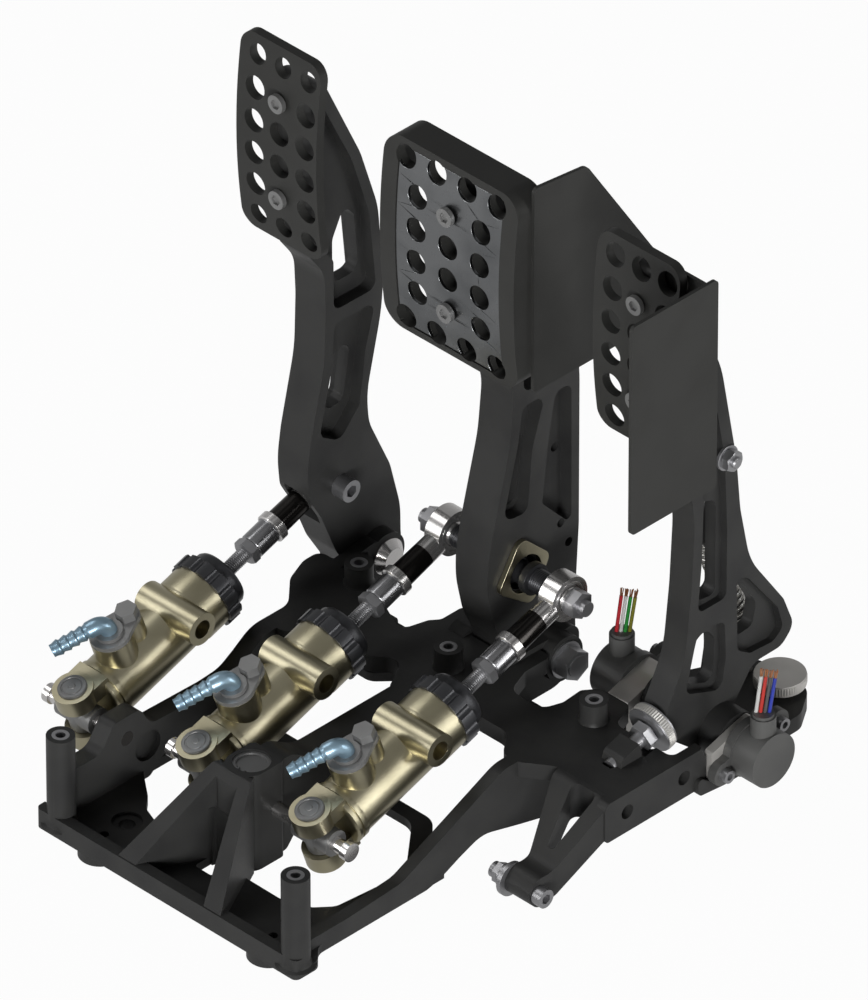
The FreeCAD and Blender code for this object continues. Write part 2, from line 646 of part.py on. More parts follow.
def cylinder_gland():
    """Lobed gland nut on the head and the smaller dust ring in front of it."""
    opening = rod_d / 2 + 1.6
    lobes = []
    for k in range(12):
        angle = math.radians(30 * k)
        lobes.append(vec(20.4 * math.cos(angle), head_end, 20.4 * math.sin(angle)))
    nut = Part.makeCylinder(19.6, 8, vec(0, head_end, 0), y_axis)
    nut = nut.cut(Part.makeCompound([Part.makeCylinder(2.4, 8, p, y_axis) for p in lobes]))
    ring = revolve([(0, 0), (0, 16), (5.5, 15.4), (7, 14.4), (7, 11), (4, 9.5), (4, 0)], vec(0, head_end + 8, 0), y_axis)
    return fuse([nut, ring]).cut(Part.makeCylinder(opening, 20, vec(0, head_end - 1, 0), y_axis))


def cylinder_cross():
    """Cross piece of the tail joint: sleeve on the spindle and the pin through both lugs."""
    half = lug_gap / 2
    sleeve = rod_x(7, -12, 12, 0, 0)
    core = rod_z(7.5, 0, 0, -half + 0.3, half - 0.3)
    pin = rod_z(5, 0, 0, -half - lug_thick, half + lug_thick)
    caps = [rod_z(7.5, 0, 0, half + lug_thick, half + lug_thick + 0.8),
            rod_z(7.5, 0, 0, -half - lug_thick - 0.8, -half - lug_thick)]
    hole = rod_x(spindle_d / 2 + run_gap, -14, 14, 0, 0)
    return fuse([sleeve, core, pin] + caps).cut(hole)


def cylinder_inlet_plate():
    """Teardrop clamp plate of the inlet and its hexagon screw."""
    spread = inlet_screw_at - inlet_at
    z0, z1 = inlet_top, inlet_top + 2.6
    round_end = rod_z(10.6, 0, inlet_at, z0, z1)
    small_end = rod_z(6.2, 0, inlet_screw_at, z0, z1)
    web_plate = prism_z([(-10.2, inlet_at + 2.5), (10.2, inlet_at + 2.5), (6.1, inlet_at + spread + 1),
                         (-6.1, inlet_at + spread + 1)], z0, z1)
    screw = hexagon(10, 5, vec(0, inlet_screw_at, z1), z_axis)
    collar = rod_z(7.2, 0, inlet_at, z1, z1 + 2)
    return fuse([round_end, small_end, web_plate, screw, collar])


def cylinder_inlet_elbow():
    """Zinc-plated hose elbow: a rise from the clamp plate, a quarter bend and a barbed tail."""
    radius = elbow_d / 2
    rise_top = vec(0, inlet_at, inlet_top + 4.6 + 0.4)
    heading = vec(-0.436, -0.9, 0).normalize()
    rise = rod(radius, rise_top - z_axis * 0.4, rise_top)
    disc = Part.Face(Part.Wire(Part.Circle(rise_top, z_axis, radius).toShape()))
    turn = math.radians(elbow_turn)
    quarter = disc.revolve(rise_top + heading * elbow_bend, z_axis.cross(heading), elbow_turn)
    bend_end = rise_top + heading * elbow_bend * (1 - math.cos(turn)) + z_axis * elbow_bend * math.sin(turn)
    tail = heading * math.sin(turn) + z_axis * math.cos(turn)
    profile = [(0, 0), (0, radius), (3, radius)]
    for k in range(4):
        along = 5 + k * 4.4
        profile += [(along, radius - 1), (along + 1, radius - 0.15), (along + 4, radius - 1)]
    profile += [(elbow_tail, radius - 1), (elbow_tail, 0)]
    return fuse([rise, quarter, revolve(profile, bend_end, tail)])


def cylinder_piston():
    """Piston with two seal lands, pulled along the bore by the rod."""
    r = bore_d / 2 - piston_gap
    start, end = piston_at - piston_length / 2, piston_at + piston_length / 2
    profile = [(start, 0), (start, r - 1), (start + 1, r), (start + 5, r), (start + 5, r - 2), (end - 5, r - 2),
               (end - 5, r), (end - 1, r), (end, r - 1), (end, 0)]
    return revolve(profile, vec(0, 0, 0), y_axis)


def cylinder_rod():
    """Pull rod from the piston to the rod end, with the lock nut."""
    start, end = piston_at + piston_length / 2, cylinder_length - rod_end_shank + rod_end_grip
    shaft = Part.makeCylinder(rod_d / 2, end - start, vec(0, start, 0), y_axis)
    nut = hexagon(12.7, 5, vec(0, cylinder_length - rod_end_shank - 5, 0), y_axis)
    return fuse([shaft, nut])


def cylinder_rod_end(seat):
    """Rod end: threaded shank with a collar, and an eye cut by its seat tool."""
    at = cylinder_length
    start = at - rod_end_shank
    profile = [(start, 0), (start, 6.0), (start + 1, 6.8), (at - 41, 6.8), (at - 40, 8.2), (at - 36, 8.2), (at - 35, 6.6),
               (at - 8, 6.2), (at - 8, 0)]
    shank = revolve(profile, vec(0, 0, 0), y_axis)
    eye = Part.makeCylinder(eye_d / 2, eye_width, vec(-eye_width / 2, at, 0), x_axis)
    thread = Part.makeCylinder(rod_d / 2 + seat_gap, rod_end_grip + 1, vec(0, start - 1, 0), y_axis)
    return fuse([shank, eye]).cut(seat).cut(thread)


def ball_seat():
    """Spherical seat tool for an eye that holds its ball directly."""
    return ball_shape(vec(0, cylinder_length, 0), eye_ball_d / 2 + ball_gap, eye_width)


def race_seat():
    """Round seat tool for an eye that turns on a separate race."""
    half = eye_width
    return Part.makeCylinder(race_d / 2 + run_gap, 2 * half, vec(-half, cylinder_length, 0), x_axis)


def ball_shape(centre, radius, flat):
    """Ball cut flat on both sides across X, at that distance from its centre."""
    angle = math.degrees(math.asin(min(0.98, flat / radius)))
    return Part.makeSphere(radius, centre, x_axis, -angle, angle, 360)


def eye_ball(centre, flat):
    """Rod end's ball with its bolt hole; flat is half its width."""
    ball = ball_shape(centre, eye_ball_d / 2, flat)
    return ball.cut(rod_x(pin_d / 2 + seat_gap, centre.x - 10, centre.x + 10, centre.y, centre.z))


def eye_race(centre):
    """Race between a rod end's eye and its ball, so that the eye can turn both ways."""
    race = rod_x(race_d / 2, centre.x - eye_width / 2, centre.x + eye_width / 2, centre.y, centre.z)
    return race.cut(ball_shape(centre, eye_ball_d / 2 + ball_gap, eye_width))


# Clutch pedal

def outline_clutch():
    """Side outline of the clutch arm about its pivot, front edge upwards and rear edge down."""
    reach = pad_face_clutch() + pad_thick
    return [(-17.6, -3.6, 0), (-27, 12, 30), (-37, 37, 10), (-45, 51, 12), (-46.6, 68, 60), (-44, 86, 60),
            (-34.5, 128, 90), (-33.5, 160, 60), (-34.5, 182, 20), (reach, 203, 10), (reach, 296, 4), (-36, 297, 10),
            (-9.5, 241, 60), (2.5, 204, 60), (6.8, 150, 120), (-5.5, 96, 60), (-4, 78, 30), (10.5, 46, 30), (17.6, 18, 50),
            (17.9, -2, 0)]


def pad_face_clutch():
    """Set-back of the clutch pad's face from the pivot."""
    return -54.5


def fork_slot(pin, width, x, pitch, swing):
    """Slot for a rod end in an arm: round about the pin and open to the front over the rod's swing."""
    radius = eye_d / 2 + 1.4
    cut = rod_x(radius, x - width / 2, x + width / 2, pin.y, pin.z)
    for angle in (pitch, pitch + swing):
        ray = box(x - width / 2, x + width / 2, -45, 0, -9.4, 9.4)
        ray.rotate(vec(x, 0, 0), x_axis, angle)
        ray.translate(vec(0, pin.y, pin.z))
        cut = cut.fuse(ray)
    return cut


def band(y, z, corners):
    """Closed pocket outline about a pivot."""
    return about(corners, y, z)


def clutch_arm():
    x0, x1 = -clutch_x - clutch_arm_width / 2, -clutch_x + clutch_arm_width / 2
    outline = about(outline_clutch(), pedal_y, pedal_z)
    arm = prism_x(outline, x0, x1)
    hub = rod_x(clutch_hub_d / 2, x0, x1, pedal_y, pedal_z)
    arm = behind_pad(fuse([arm, hub]), -clutch_x, clutch_arm_width / 2, pedal_y + pad_face_clutch(), clutch_middle())
    pin = pin_point(clutch_pin_back)
    upper = band(pedal_y, pedal_z, [(-28, 156, 5), (-28, 186, 6), (-43, 206, 6), (-43, 284, 4), (-38, 286, 4),
                                    (-15.5, 240, 40), (-3.5, 203, 30), (1.2, 156, 5)])
    lower = band(pedal_y, pedal_z, [(-38, 86, 6), (-28.6, 126, 60), (-28, 148, 5), (0.8, 148, 5), (-6, 124, 40),
                                    (-10.4, 92, 5), (-24, 77, 6)])
    side_cuts = []
    for points in (upper, lower):
        side_cuts.append(prism_x(points, -clutch_x + web / 2, x1 + 1))
        side_cuts.append(prism_x(points, x0 - 1, -clutch_x - web / 2))
    windows = [prism_x(band(pedal_y, pedal_z, [(-22, 166, 5), (-22, 192, 9), (-14, 208, 8), (-7, 200, 6), (-4, 166, 6)]),
                       x0 - 1, x1 + 1),
               prism_x(band(pedal_y, pedal_z, [(-29, 92, 5), (-22, 126, 8), (-10, 126, 8), (-15, 94, 4)]), x0 - 1, x1 + 1)]
    cuts = side_cuts + windows
    cuts.append(fork_slot(pin, fork_gap, -clutch_x, cylinder_pitch, 18))
    cuts.append(rod_x(shaft_d / 2 + run_gap, x0 - 1, x1 + 1, pedal_y, pedal_z))
    cuts.append(rod_x(4 + seat_gap, x0 - 1, x1 + 1, pin.y, pin.z))
    return arm.cut(Part.makeCompound(cuts))


def bowed_plate(x, width, height, face_y, middle_z, thick, corner):
    """Plate bowed towards the driver over its height, with rounded corners."""
    half = width / 2
    sag = pad_bow - math.sqrt(pad_bow ** 2 - height ** 2 / 4)
    shell = bow(x - half - 1, x + half + 1, face_y, middle_z, 0).cut(bow(x - half - 2, x + half + 2, face_y, middle_z, thick))
    outline = [(x - half, middle_z - height / 2, corner), (x + half, middle_z - height / 2, corner),
               (x + half, middle_z + height / 2, corner), (x - half, middle_z + height / 2, corner)]
    return shell.common(prism_y(outline, face_y - 1, face_y + thick + sag + 3))


def bow(x0, x1, face_y, middle_z, depth):
    """Everything behind a pad's bowed face, or behind the surface that lies that deep under it."""
    return rod_x(pad_bow - depth, x0, x1, face_y + pad_bow, middle_z)


def behind_pad(arm, x, half, face, middle):
    """The arm cut back to the bowed rear surface of its pad, with the pad screws' holes."""
    front = box(x - half - 1, x + half + 1, face - 30, face + 30, middle - 70, middle + 70)
    holes = [rod(3, vec(x, face - 1, middle + dz), vec(x, face + 40, middle + dz))
             for dx, dz, row, column in clutch_pad_places() if column == 1 and row in (1, 4)]
    return arm.cut(front.cut(bow(x - half - 2, x + half + 2, face, middle, pad_thick))).cut(Part.makeCompound(holes))


def grid(count_x, pitch_x, rows, pitch_z):
    """Hole centres about the middle of a pad; rows may have their own number of holes."""
    places = []
    for row in range(rows):
        across = count_x[row]
        for column in range(across):
            places.append(((column - (across - 1) / 2) * pitch_x[row], ((rows - 1) / 2 - row) * pitch_z, row, column))
    return places


def clutch_pad_places():
    return grid([3] * 6, [clutch_hole_pitch_x] * 6, 6, clutch_hole_pitch_z)


def clutch_middle():
    return pedal_z + clutch_pad_middle


def clutch_pad():
    """Perforated clutch pad: six rows of three holes, two of them taken by its screws."""
    face = pedal_y + pad_face_clutch()
    middle = clutch_middle()
    plate = bowed_plate(-clutch_x + pad_shift, clutch_pad_width, clutch_pad_height, face, middle, pad_thick, 9)
    cuts = []
    for dx, dz, row, column in clutch_pad_places():
        screw = column == 1 and row in (1, 4)
        radius = 3.0 if screw else (hole_d / 2 if 0 < row < 5 else hole_d / 2 - 0.9)
        cuts.append(rod(radius, vec(-clutch_x + dx, face - 5, middle + dz), vec(-clutch_x + dx, face + 12, middle + dz)))
    return plate.cut(Part.makeCompound(cuts))


def pad_screws(x, face, middle, places, seat):
    """Button screws in the middle column of a pad."""
    made = []
    for dx, dz, row, column in places:
        if column == 1 and row in (1, 4):
            start = vec(x + dx, face + seat, middle + dz)
            made.append(socket_screw(10, 2.6, 5.9, pad_thick + 7, start, vec(0, -1, 0)))
    return made


def clutch_clevis():
    """Socket screw across the clutch fork, carrying the rod end's ball."""
    pin = pin_point(clutch_pin_back)
    x1 = -clutch_x + clutch_arm_width / 2
    screw = socket_screw(12, 8, 8, clutch_arm_width, vec(x1, pin.y, pin.z), x_axis)
    spacer = rod_x(pin_d / 2 + 1.4, -clutch_x - fork_gap / 2 + 0.1, -clutch_x + fork_gap / 2 - 0.1, pin.y, pin.z)
    ball = eye_ball(vec(-clutch_x, pin.y, pin.z), ball_flat)
    spacers = spacer.cut(box(-clutch_x - ball_flat, -clutch_x + ball_flat, -500, 500, -500, 500))
    spacers = spacers.cut(rod_x(pin_d / 2 + seat_gap, -clutch_x - 10, -clutch_x + 10, pin.y, pin.z))
    return [screw, ball, spacers]


# Brake pedal

def outline_brake():
    """Side outline of the brake arm about its pivot."""
    return [(-24.2, -2, 0), (-25, 12, 30), (-32, 27, 30), (-36.6, 48, 60), (-36.6, 64, 60), (-32.5, 84, 60),
            (-21.5, 128, 90), (-18.5, 160, 30), (-31.5, 188, 10), (-31.5, 202, 2), (-44.5, 205, 3), (-44.5, 280, 3),
            (-36, 286, 8), (-21, 282, 10), (4, 240, 60),
            (21, 196, 60), (26.6, 150, 100), (26.6, 60, 80), (24.4, 20, 40), (24.4, -2, 0)]


def brake_arm():
    half = brake_arm_width / 2
    outline = about(outline_brake(), pedal_y, pedal_z)
    hub = rod_x(brake_hub_d / 2, -half, half, pedal_y, pedal_z)
    arm = fuse([prism_x(outline, -half, half), hub])
    pin = pin_point(brake_pin_back)
    upper = [(-12, 156, 5), (-12, 182, 8), (-24, 205, 6), (-31, 270, 4), (-22, 272, 4), (-2, 236, 40), (15, 196, 40),
             (19.6, 156, 5)]
    lower = [(-26, 86, 6), (-15.6, 128, 60), (-12.6, 148, 5), (3, 148, 5), (-6, 120, 30), (-9, 84, 5)]
    rear = [(1, 84, 4), (5, 118, 20), (10, 146, 5), (21, 146, 5), (21.4, 62, 5), (12, 72, 8)]
    cuts = []
    for points in (upper, lower, rear):
        placed = band(pedal_y, pedal_z, points)
        cuts.append(prism_x(placed, web / 2, half + 1))
        cuts.append(prism_x(placed, -half - 1, -web / 2))
    window = band(pedal_y, pedal_z, [(-21, 88, 4), (-13, 126, 8), (-5, 126, 6), (-11, 88, 4)])
    cuts.append(prism_x(window, -half - 1, half + 1))
    window = band(pedal_y, pedal_z, [(-7, 164, 5), (-8, 186, 8), (4, 190, 8), (12, 164, 6)])
    cuts.append(prism_x(window, -half - 1, half + 1))
    for dy, dz in ((19.5, 52), (17, 106), (14, 66)):
        cuts.append(rod_x(2.5, -half - 1, half + 1, pedal_y + dy, pedal_z + dz))
    cuts.append(rod_x(shaft_d / 2 + run_gap, -half - 1, half + 1, pedal_y, pedal_z))
    cuts.append(rod_x(bearing_r() + seat_gap, -half - 1, half + 1, pin.y, pin.z))
    face, middle = brake_face(), brake_pad_middle()
    cuts += [rod(3, vec(brake_pad_x, face - 1, middle + dz), vec(brake_pad_x, face + 24, middle + dz))
             for dx, dz, row, column in brake_pad_places() if column == 1 and row in (1, 4)]
    return arm.cut(Part.makeCompound(cuts))


def bearing_r():
    return 13.5


def brake_face():
    """Place of the brake pad's face, ahead of the pivot."""
    return pedal_y - 53.5


def brake_pad_middle():
    return pedal_z + brake_pad_rise


def brake_pad_frame():
    """Deep dished pad frame: bowed face with a raised rim round the plate, and side walls behind it."""
    face, middle = brake_face(), brake_pad_middle()
    width, height = brake_pad_width, brake_pad_height
    x = brake_pad_x
    outline = [(x + sx * width / 2, middle + sz * height / 2, 12) for sx, sz in ((-1, -1), (1, -1), (1, 1), (-1, 1))]
    block = prism_y(outline, face - 1, face + brake_pad_depth + 2)
    block = block.common(bow(x - width, x + width, face, middle, 0))
    hollow = prism_y(inset(outline, 4), face + 9, face + brake_pad_depth + 3)
    half = brake_plate_width / 2 + 0.3
    recess = box(x - half, x + half, face - 1, face + 9, middle - height / 2 + 4, middle + height / 2 - 4)
    frame = block.cut(hollow).cut(recess.cut(bow(x - width, x + width, face, middle, 2.3)))
    return frame.cut(Part.makeCompound(brake_pad_holes(face, middle)))


def brake_pad_holes(face, middle):
    """The brake pad's perforations, two of them small for its screws."""
    holes = []
    for dx, dz, row, column in brake_pad_places():
        radius = 3 if column == 1 and row in (1, 4) else hole_d / 2
        x = brake_pad_x + dx
        holes.append(rod(radius, vec(x, face - 2, middle + dz), vec(x, face + 11, middle + dz)))
    return holes


def brake_pad_places():
    return grid([4, 3, 3, 3, 3, 4], [20.5, 21.5, 21.5, 21.5, 21.5, 20.5], 6, 18.7)


def brake_pad_plate():
    """Thin bright plate recessed in the frame's face."""
    face, middle = brake_face(), brake_pad_middle()
    half, height = brake_plate_width / 2, brake_pad_height - 9
    x = brake_pad_x
    shell = bow(x - half, x + half, face, middle, 0.5).cut(bow(x - half - 1, x + half + 1, face, middle, 2.3))
    corners = [(x + sx * half, middle + sz * height / 2, 8) for sx, sz in ((-1, -1), (1, -1), (1, 1), (-1, 1))]
    plate = shell.common(prism_y(corners, face - 1, face + 12))
    return plate.cut(Part.makeCompound(brake_pad_holes(face, middle)))


def brake_guard():
    """Side guard plate on the right edge of the brake pad."""
    face, middle = brake_face(), brake_pad_middle()
    top = middle + brake_pad_height / 2
    low = middle - brake_pad_height / 2
    points = [(face + 12, low - 2, 2), (face + 12, top + 5, 3), (face + 48, top + 1, 6), (face + 98, low + 37, 14),
              (face + 98, low - 2, 3)]
    x = brake_pad_x + brake_pad_width / 2
    return prism_x(points, x, x + guard_thick)


def bearing_retainer():
    """Rhombic retainer plate of the balance-bar bearing, on the arm's right side."""
    pin = pin_point(brake_pin_back)
    half = brake_arm_width / 2
    points = [(pin.y - 19, pin.z - 3, 5), (pin.y + 5, pin.z - 21, 5), (pin.y + 17, pin.z + 4, 5), (pin.y - 3, pin.z + 23, 5)]
    plate = prism_x(points, half, half + 3)
    return plate.cut(rod_x(10.6, half - 1, half + 4, pin.y, pin.z))


def balance_bearing():
    """Outer ring of the spherical bearing in the brake arm."""
    pin = pin_point(brake_pin_back)
    half = brake_arm_width / 2
    ring = rod_x(bearing_r(), -half, half, pin.y, pin.z)
    ring = ring.cut(ball_shape(vec(0, pin.y, pin.z), centre_ball_d / 2 + ball_gap, half - 1))
    return ring.cut(rod_x(9.6, -half - 1, half + 1, pin.y, pin.z))


def balance_bar():
    """Threaded balance bar with its centre ball and a flange near each end."""
    pin = pin_point(brake_pin_back)
    inner = cylinder_x - ball_flat
    bar = rod_x(bar_d / 2, -inner, inner, pin.y, pin.z)
    ball = ball_shape(vec(0, pin.y, pin.z), centre_ball_d / 2, 9)
    collars = [rod_x(8.5, side * 19 - 2, side * 19 + 2, pin.y, pin.z) for side in (-1, 1)]
    holes = [rod_x(4 + seat_gap, inner - 14, inner + 1, pin.y, pin.z), rod_x(4 + seat_gap, -inner - 1, -inner + 14, pin.y, pin.z)]
    return fuse([bar, ball] + collars).cut(Part.makeCompound(holes))


def balance_bolts():
    """Bolts that clamp the rod ends' balls to the balance bar, with their washers."""
    pin = pin_point(brake_pin_back)
    made = []
    inner = cylinder_x - ball_flat
    outer = cylinder_x + ball_flat
    for side in (-1, 1):
        shank = Part.makeCylinder(4, outer - inner + 13.5, vec(side * (inner - 13.5), pin.y, pin.z), vec(side, 0, 0))
        washer = Part.makeCylinder(7, 1.2, vec(side * outer, pin.y, pin.z), vec(side, 0, 0))
        head = hexagon(13, 6, vec(side * (outer + 1.2), pin.y, pin.z), vec(side, 0, 0))
        stud = Part.makeCylinder(4, 4, vec(side * (outer + 7.2), pin.y, pin.z), vec(side, 0, 0))
        made.append(fuse([shank, washer, head, stud]))
    return made


def balance_balls():
    """Balls of both brake rod ends, clamped between the bar and its bolts."""
    pin = pin_point(brake_pin_back)
    return [eye_ball(vec(side * cylinder_x, pin.y, pin.z), ball_flat) for side in (-1, 1)]


# Throttle pedal

def outline_throttle():
    """Side outline of the throttle arm about its pivot, with the rear lobe and the stop face."""
    up, down = (-stop_sin, stop_cos), (-34.7 + 0.3 * stop_cos, 17.4 + 0.3 * stop_sin)
    high = (down[0] + 9 * up[0], down[1] + 9 * up[1])
    low = (down[0] - 9 * up[0], down[1] - 9 * up[1])
    return [(-12, -8, 0), (low[0], low[1], 2), (high[0], high[1], 6), (-23.5, 52, 60), (-19.5, 90, 80),
            (-17.5, 128, 60), (-21, 160, 40), (-43, 194, 10), (-43, 290, 4), (-32, 290, 8), (0, 214, 80),
            (11, 155, 80), (14, 124, 60), (21, 90, 50), (45, 55, 14), (52.5, 36, 8), (44, 27.3, 9), (24, 27, 10),
            (10, 8, 0)]


def throttle_arm():
    x0, x1 = throttle_x - throttle_arm_width / 2, throttle_x + throttle_arm_width / 2
    py, pz = throttle_pivot.y, throttle_pivot.z
    arm = prism_x(about(outline_throttle(), py, pz), x0, x1)
    hub = rod_x(throttle_hub_d / 2, block_left + block_left_width + side_gap, block_right - side_gap, py, pz)
    arm = behind_pad(fuse([arm, hub]), throttle_x, throttle_arm_width / 2, throttle_face(), throttle_middle())
    spigot_y, spigot_z = py + spring_head_y, pz + spring_head_z
    bracket = prism_x([(py + 4, spigot_z + 3, 1), (py + 18, spigot_z + 14, 6), (spigot_y + 8, spigot_z + 10, 4),
                       (spigot_y + 8, spigot_z + 3, 1)], spring_x - 6, x0 + 1)
    lower = [(-23, 32, 5), (-17, 56, 20), (-14, 66, 4), (4, 62, 4), (5, 40, 10), (2, 22, 5)]
    upper = [(-15, 76, 4), (-12.5, 104, 40), (-11.5, 140, 20), (-15, 164, 20), (-36, 198, 6), (-36, 276, 4), (-31, 278, 3),
             (-6, 208, 40), (3, 158, 40), (5, 116, 20), (5, 76, 4)]
    lobe = [(13, 40, 5), (12, 84, 5), (20, 80, 8), (41, 52, 8), (45, 38, 5), (38, 33, 4), (22, 34, 4)]
    cuts = []
    for points in (lower, upper, lobe):
        placed = band(py, pz, points)
        cuts.append(prism_x(placed, throttle_x + web / 2, x1 + 1))
        cuts.append(prism_x(placed, x0 - 1, throttle_x - web / 2))
    windows = [[(-19, 34, 5), (-13, 56, 8), (-5, 60, 5), (1, 52, 5), (0, 26, 5)],
               [(-12, 80, 4), (-10.5, 138, 4), (1, 134, 6), (1, 78, 4)],
               [(-13, 148, 4), (-15, 164, 10), (-28, 192, 6), (-14, 196, 6), (-2, 162, 10), (-1, 148, 3)],
               [(15, 45, 4), (14, 78, 4), (21, 74, 6), (30, 58, 8), (27, 46, 4)]]
    cuts += [prism_x(band(py, pz, points), x0 - 1, x1 + 1) for points in windows]
    cuts.append(rod_x(shaft_d / 2 + seat_gap, block_left, block_right + 1, py, pz))
    return fuse([arm, bracket]).cut(Part.makeCompound(cuts))


def throttle_face():
    return throttle_pivot.y - 51


def throttle_middle():
    return throttle_pivot.z + 244.4


def throttle_pad_places():
    return grid([3] * 6, [clutch_hole_pitch_x] * 6, 6, clutch_hole_pitch_z)


def throttle_pad():
    """Perforated throttle pad."""
    face, middle = throttle_face(), throttle_middle()
    plate = bowed_plate(throttle_x + pad_shift, throttle_pad_width, throttle_pad_height, face, middle, pad_thick, 9)
    cuts = []
    for dx, dz, row, column in throttle_pad_places():
        radius = 3 if column == 1 and row in (1, 4) else hole_d / 2
        cuts.append(rod(radius, vec(throttle_x + dx, face - 5, middle + dz), vec(throttle_x + dx, face + 12, middle + dz)))
    return plate.cut(Part.makeCompound(cuts))


def throttle_guard():
    """Bent side guard of the throttle pad: a flange behind the pad and the plate beside it."""
    face, middle = throttle_face(), throttle_middle()
    sag = pad_bow - math.sqrt(pad_bow ** 2 - throttle_pad_height ** 2 / 4)
    back = face + pad_thick + sag + seat_gap
    low, high = middle - throttle_pad_height / 2 - 6, middle + throttle_pad_height / 2 + 1
    arm_side = throttle_x + throttle_arm_width / 2 + seat_gap
    x = throttle_x + throttle_guard_out
    front, rear = face - throttle_guard_ahead, back + guard_thick
    flange = box(arm_side, x + guard_thick, back, rear, low + 10, high - 6)
    side = prism_x([(front, low, 3), (rear, low, 3), (rear, high, 3), (front, high, 3)], x, x + guard_thick)
    slots = [prism_y([(x - 19, z - 4, 3.9), (x - 5, z - 4, 3.9), (x - 5, z + 4, 3.9), (x - 19, z + 4, 3.9)],
                     back - 1, rear + 1) for z in (middle - 30, middle + 30)]
    return fuse([flange, side]).cut(Part.makeCompound(slots))


def throttle_shaft():
    """Shaft clamped in the throttle hub, turning in both bearing blocks."""
    return rod_x(shaft_d / 2, block_left, block_right + block_right_width, throttle_pivot.y, throttle_pivot.z)


def bearing_blocks():
    """Pale bearing blocks whose top faces follow the pitch of the stop screw."""
    py, pz = throttle_pivot.y, throttle_pivot.z
    profile = about([(-23, -11.6, 2), (15.3, -11.6, 2), (15.3, 2, 8), (6, 13.4, 3), (-3, 11.4, 1), (-23, 5.4, 2)], py, pz)
    made = []
    for x, width in ((block_left, block_left_width), (block_right, block_right_width)):
        block = prism_x(profile, x, x + width)
        made.append(block.cut(rod_x(shaft_d / 2 + run_gap, x - 1, x + width + 1, py, pz)))
    return made


def sensor(x, side):
    """Rotary position sensor with a two-eared flange and a cable boss; side is its outward direction."""
    py, pz = throttle_pivot.y, throttle_pivot.z
    ear_y, ear_z = 20.0 * stop_cos, 20.0 * stop_sin

    def across(radius, length, y, z, start):
        return Part.makeCylinder(radius, length, vec(x + side * start, y, z), vec(side, 0, 0))

    flange = [across(sensor_d / 2 + 0.8, sensor_flange, py, pz, 0)]
    flange += [across(6.6, sensor_flange, py + s * ear_y, pz + s * ear_z, 0) for s in (-1, 1)]
    body = across(sensor_d / 2, sensor_flange + sensor_length, py, pz, 0)
    bars = box(-20, 20, -6.2, 6.2, 0, sensor_flange)
    bars.Placement = FreeCAD.Placement(vec(x, py, pz), FreeCAD.Rotation(vec(0, stop_cos, stop_sin), vec(0, 0, 1), vec(side, 0, 0), "XZY"))
    middle = x + side * (sensor_flange + sensor_length * 0.5)
    cable = rod_z(6.4, middle, py, pz + sensor_d / 2 - 4, pz + sensor_d / 2 + sensor_boss)
    collar = rod_z(5.4, middle, py, pz + sensor_d / 2 + sensor_boss, pz + sensor_d / 2 + sensor_boss + 1.6)
    whole = fuse(flange + [body, bars, cable, collar])
    holes = [across(2.2, sensor_flange + 1, py + s * ear_y, pz + s * ear_z, -0.5) for s in (-1, 1)]
    return whole.cut(Part.makeCompound(holes))


def sensor_bodies():
    return [sensor(block_left, -1), sensor(block_right + block_right_width, 1)]


def sensor_screws():
    """Small socket screws through the sensors' ears, with their washers."""
    made = []
    for x, side in ((block_left, -1), (block_right + block_right_width, 1)):
        for s in (-1, 1):
            y = throttle_pivot.y + s * 20.0 * stop_cos
            z = throttle_pivot.z + s * 20.0 * stop_sin
            start = vec(x + side * sensor_flange, y, z)
            made.append(socket_screw(7, 4, 4.2, sensor_flange, start, vec(side, 0, 0)))
    return made


def sensor_leads():
    """Four short stripped leads standing on each sensor's cable boss."""
    made = []
    base = throttle_pivot.z + sensor_d / 2 + sensor_boss + 1.6
    for x, side in ((block_left, -1), (block_right + block_right_width, 1)):
        middle = x + side * (sensor_flange + sensor_length * 0.5)
        for k in range(4):
            angle = math.radians(45 + 90 * k)
            dx, dy = 1.9 * math.cos(angle), 1.9 * math.sin(angle)
            made.append(rod_z(0.95, middle + dx, throttle_pivot.y + dy, base, base + 29))
    return made


def front_stop_screw():
    """Knurled stop screw with its lock nut, threaded into the lug."""
    unit = vec(0, stop_cos, stop_sin)
    disc = Part.makeCylinder(stop_d / 2, stop_thick, stop_point(stop_thick), unit)
    shank = rod(stop_screw_d / 2, stop_point(34), stop_point(stop_thick))
    nut = hexagon(13, 5, stop_point(stop_thick + 6.5), unit)
    return fuse([disc, shank, nut])


def rear_stop_screw():
    """Knurled stop screw wound down on the rear platform."""
    place = rear_stop_place()
    disc = rod_z(stop_d / 2, place.x, place.y, place.z + 2.4, place.z + 2.4 + stop_thick)
    shank = rod_z(stop_screw_d / 2, place.x, place.y, place.z - 9, place.z + 2.4)
    nut = hexagon(13, 2.4, place, z_axis)
    return fuse([disc, shank, nut])


def spring_line():
    foot = vec(spring_x, throttle_pivot.y + spring_foot_y, throttle_pivot.z + spring_foot_z)
    head = vec(spring_x, throttle_pivot.y + spring_head_y, throttle_pivot.z + spring_head_z)
    return foot, head


def spring_ball():
    """Centre of the ball that the return spring's lower seat swings on."""
    foot, head = spring_line()
    return foot - head.sub(foot).normalize() * 9


def spring_post():
    """Post on the rear platform with the ball under the return spring."""
    centre = spring_ball()
    post = rod_z(4, centre.x, centre.y, floor_z + throttle_z - 2.6, centre.z)
    return fuse([post, Part.makeSphere(spring_ball_d / 2, centre)])


def spring_seat():
    """Dished lower seat of the return spring, socketed on its ball."""
    foot, head = spring_line()
    unit = head.sub(foot).normalize()
    cup = Part.makeCylinder(spring_d / 2 + 1, 7, foot - unit * 7, unit)
    return cup.cut(Part.makeSphere(spring_ball_d / 2 + ball_gap, spring_ball()))


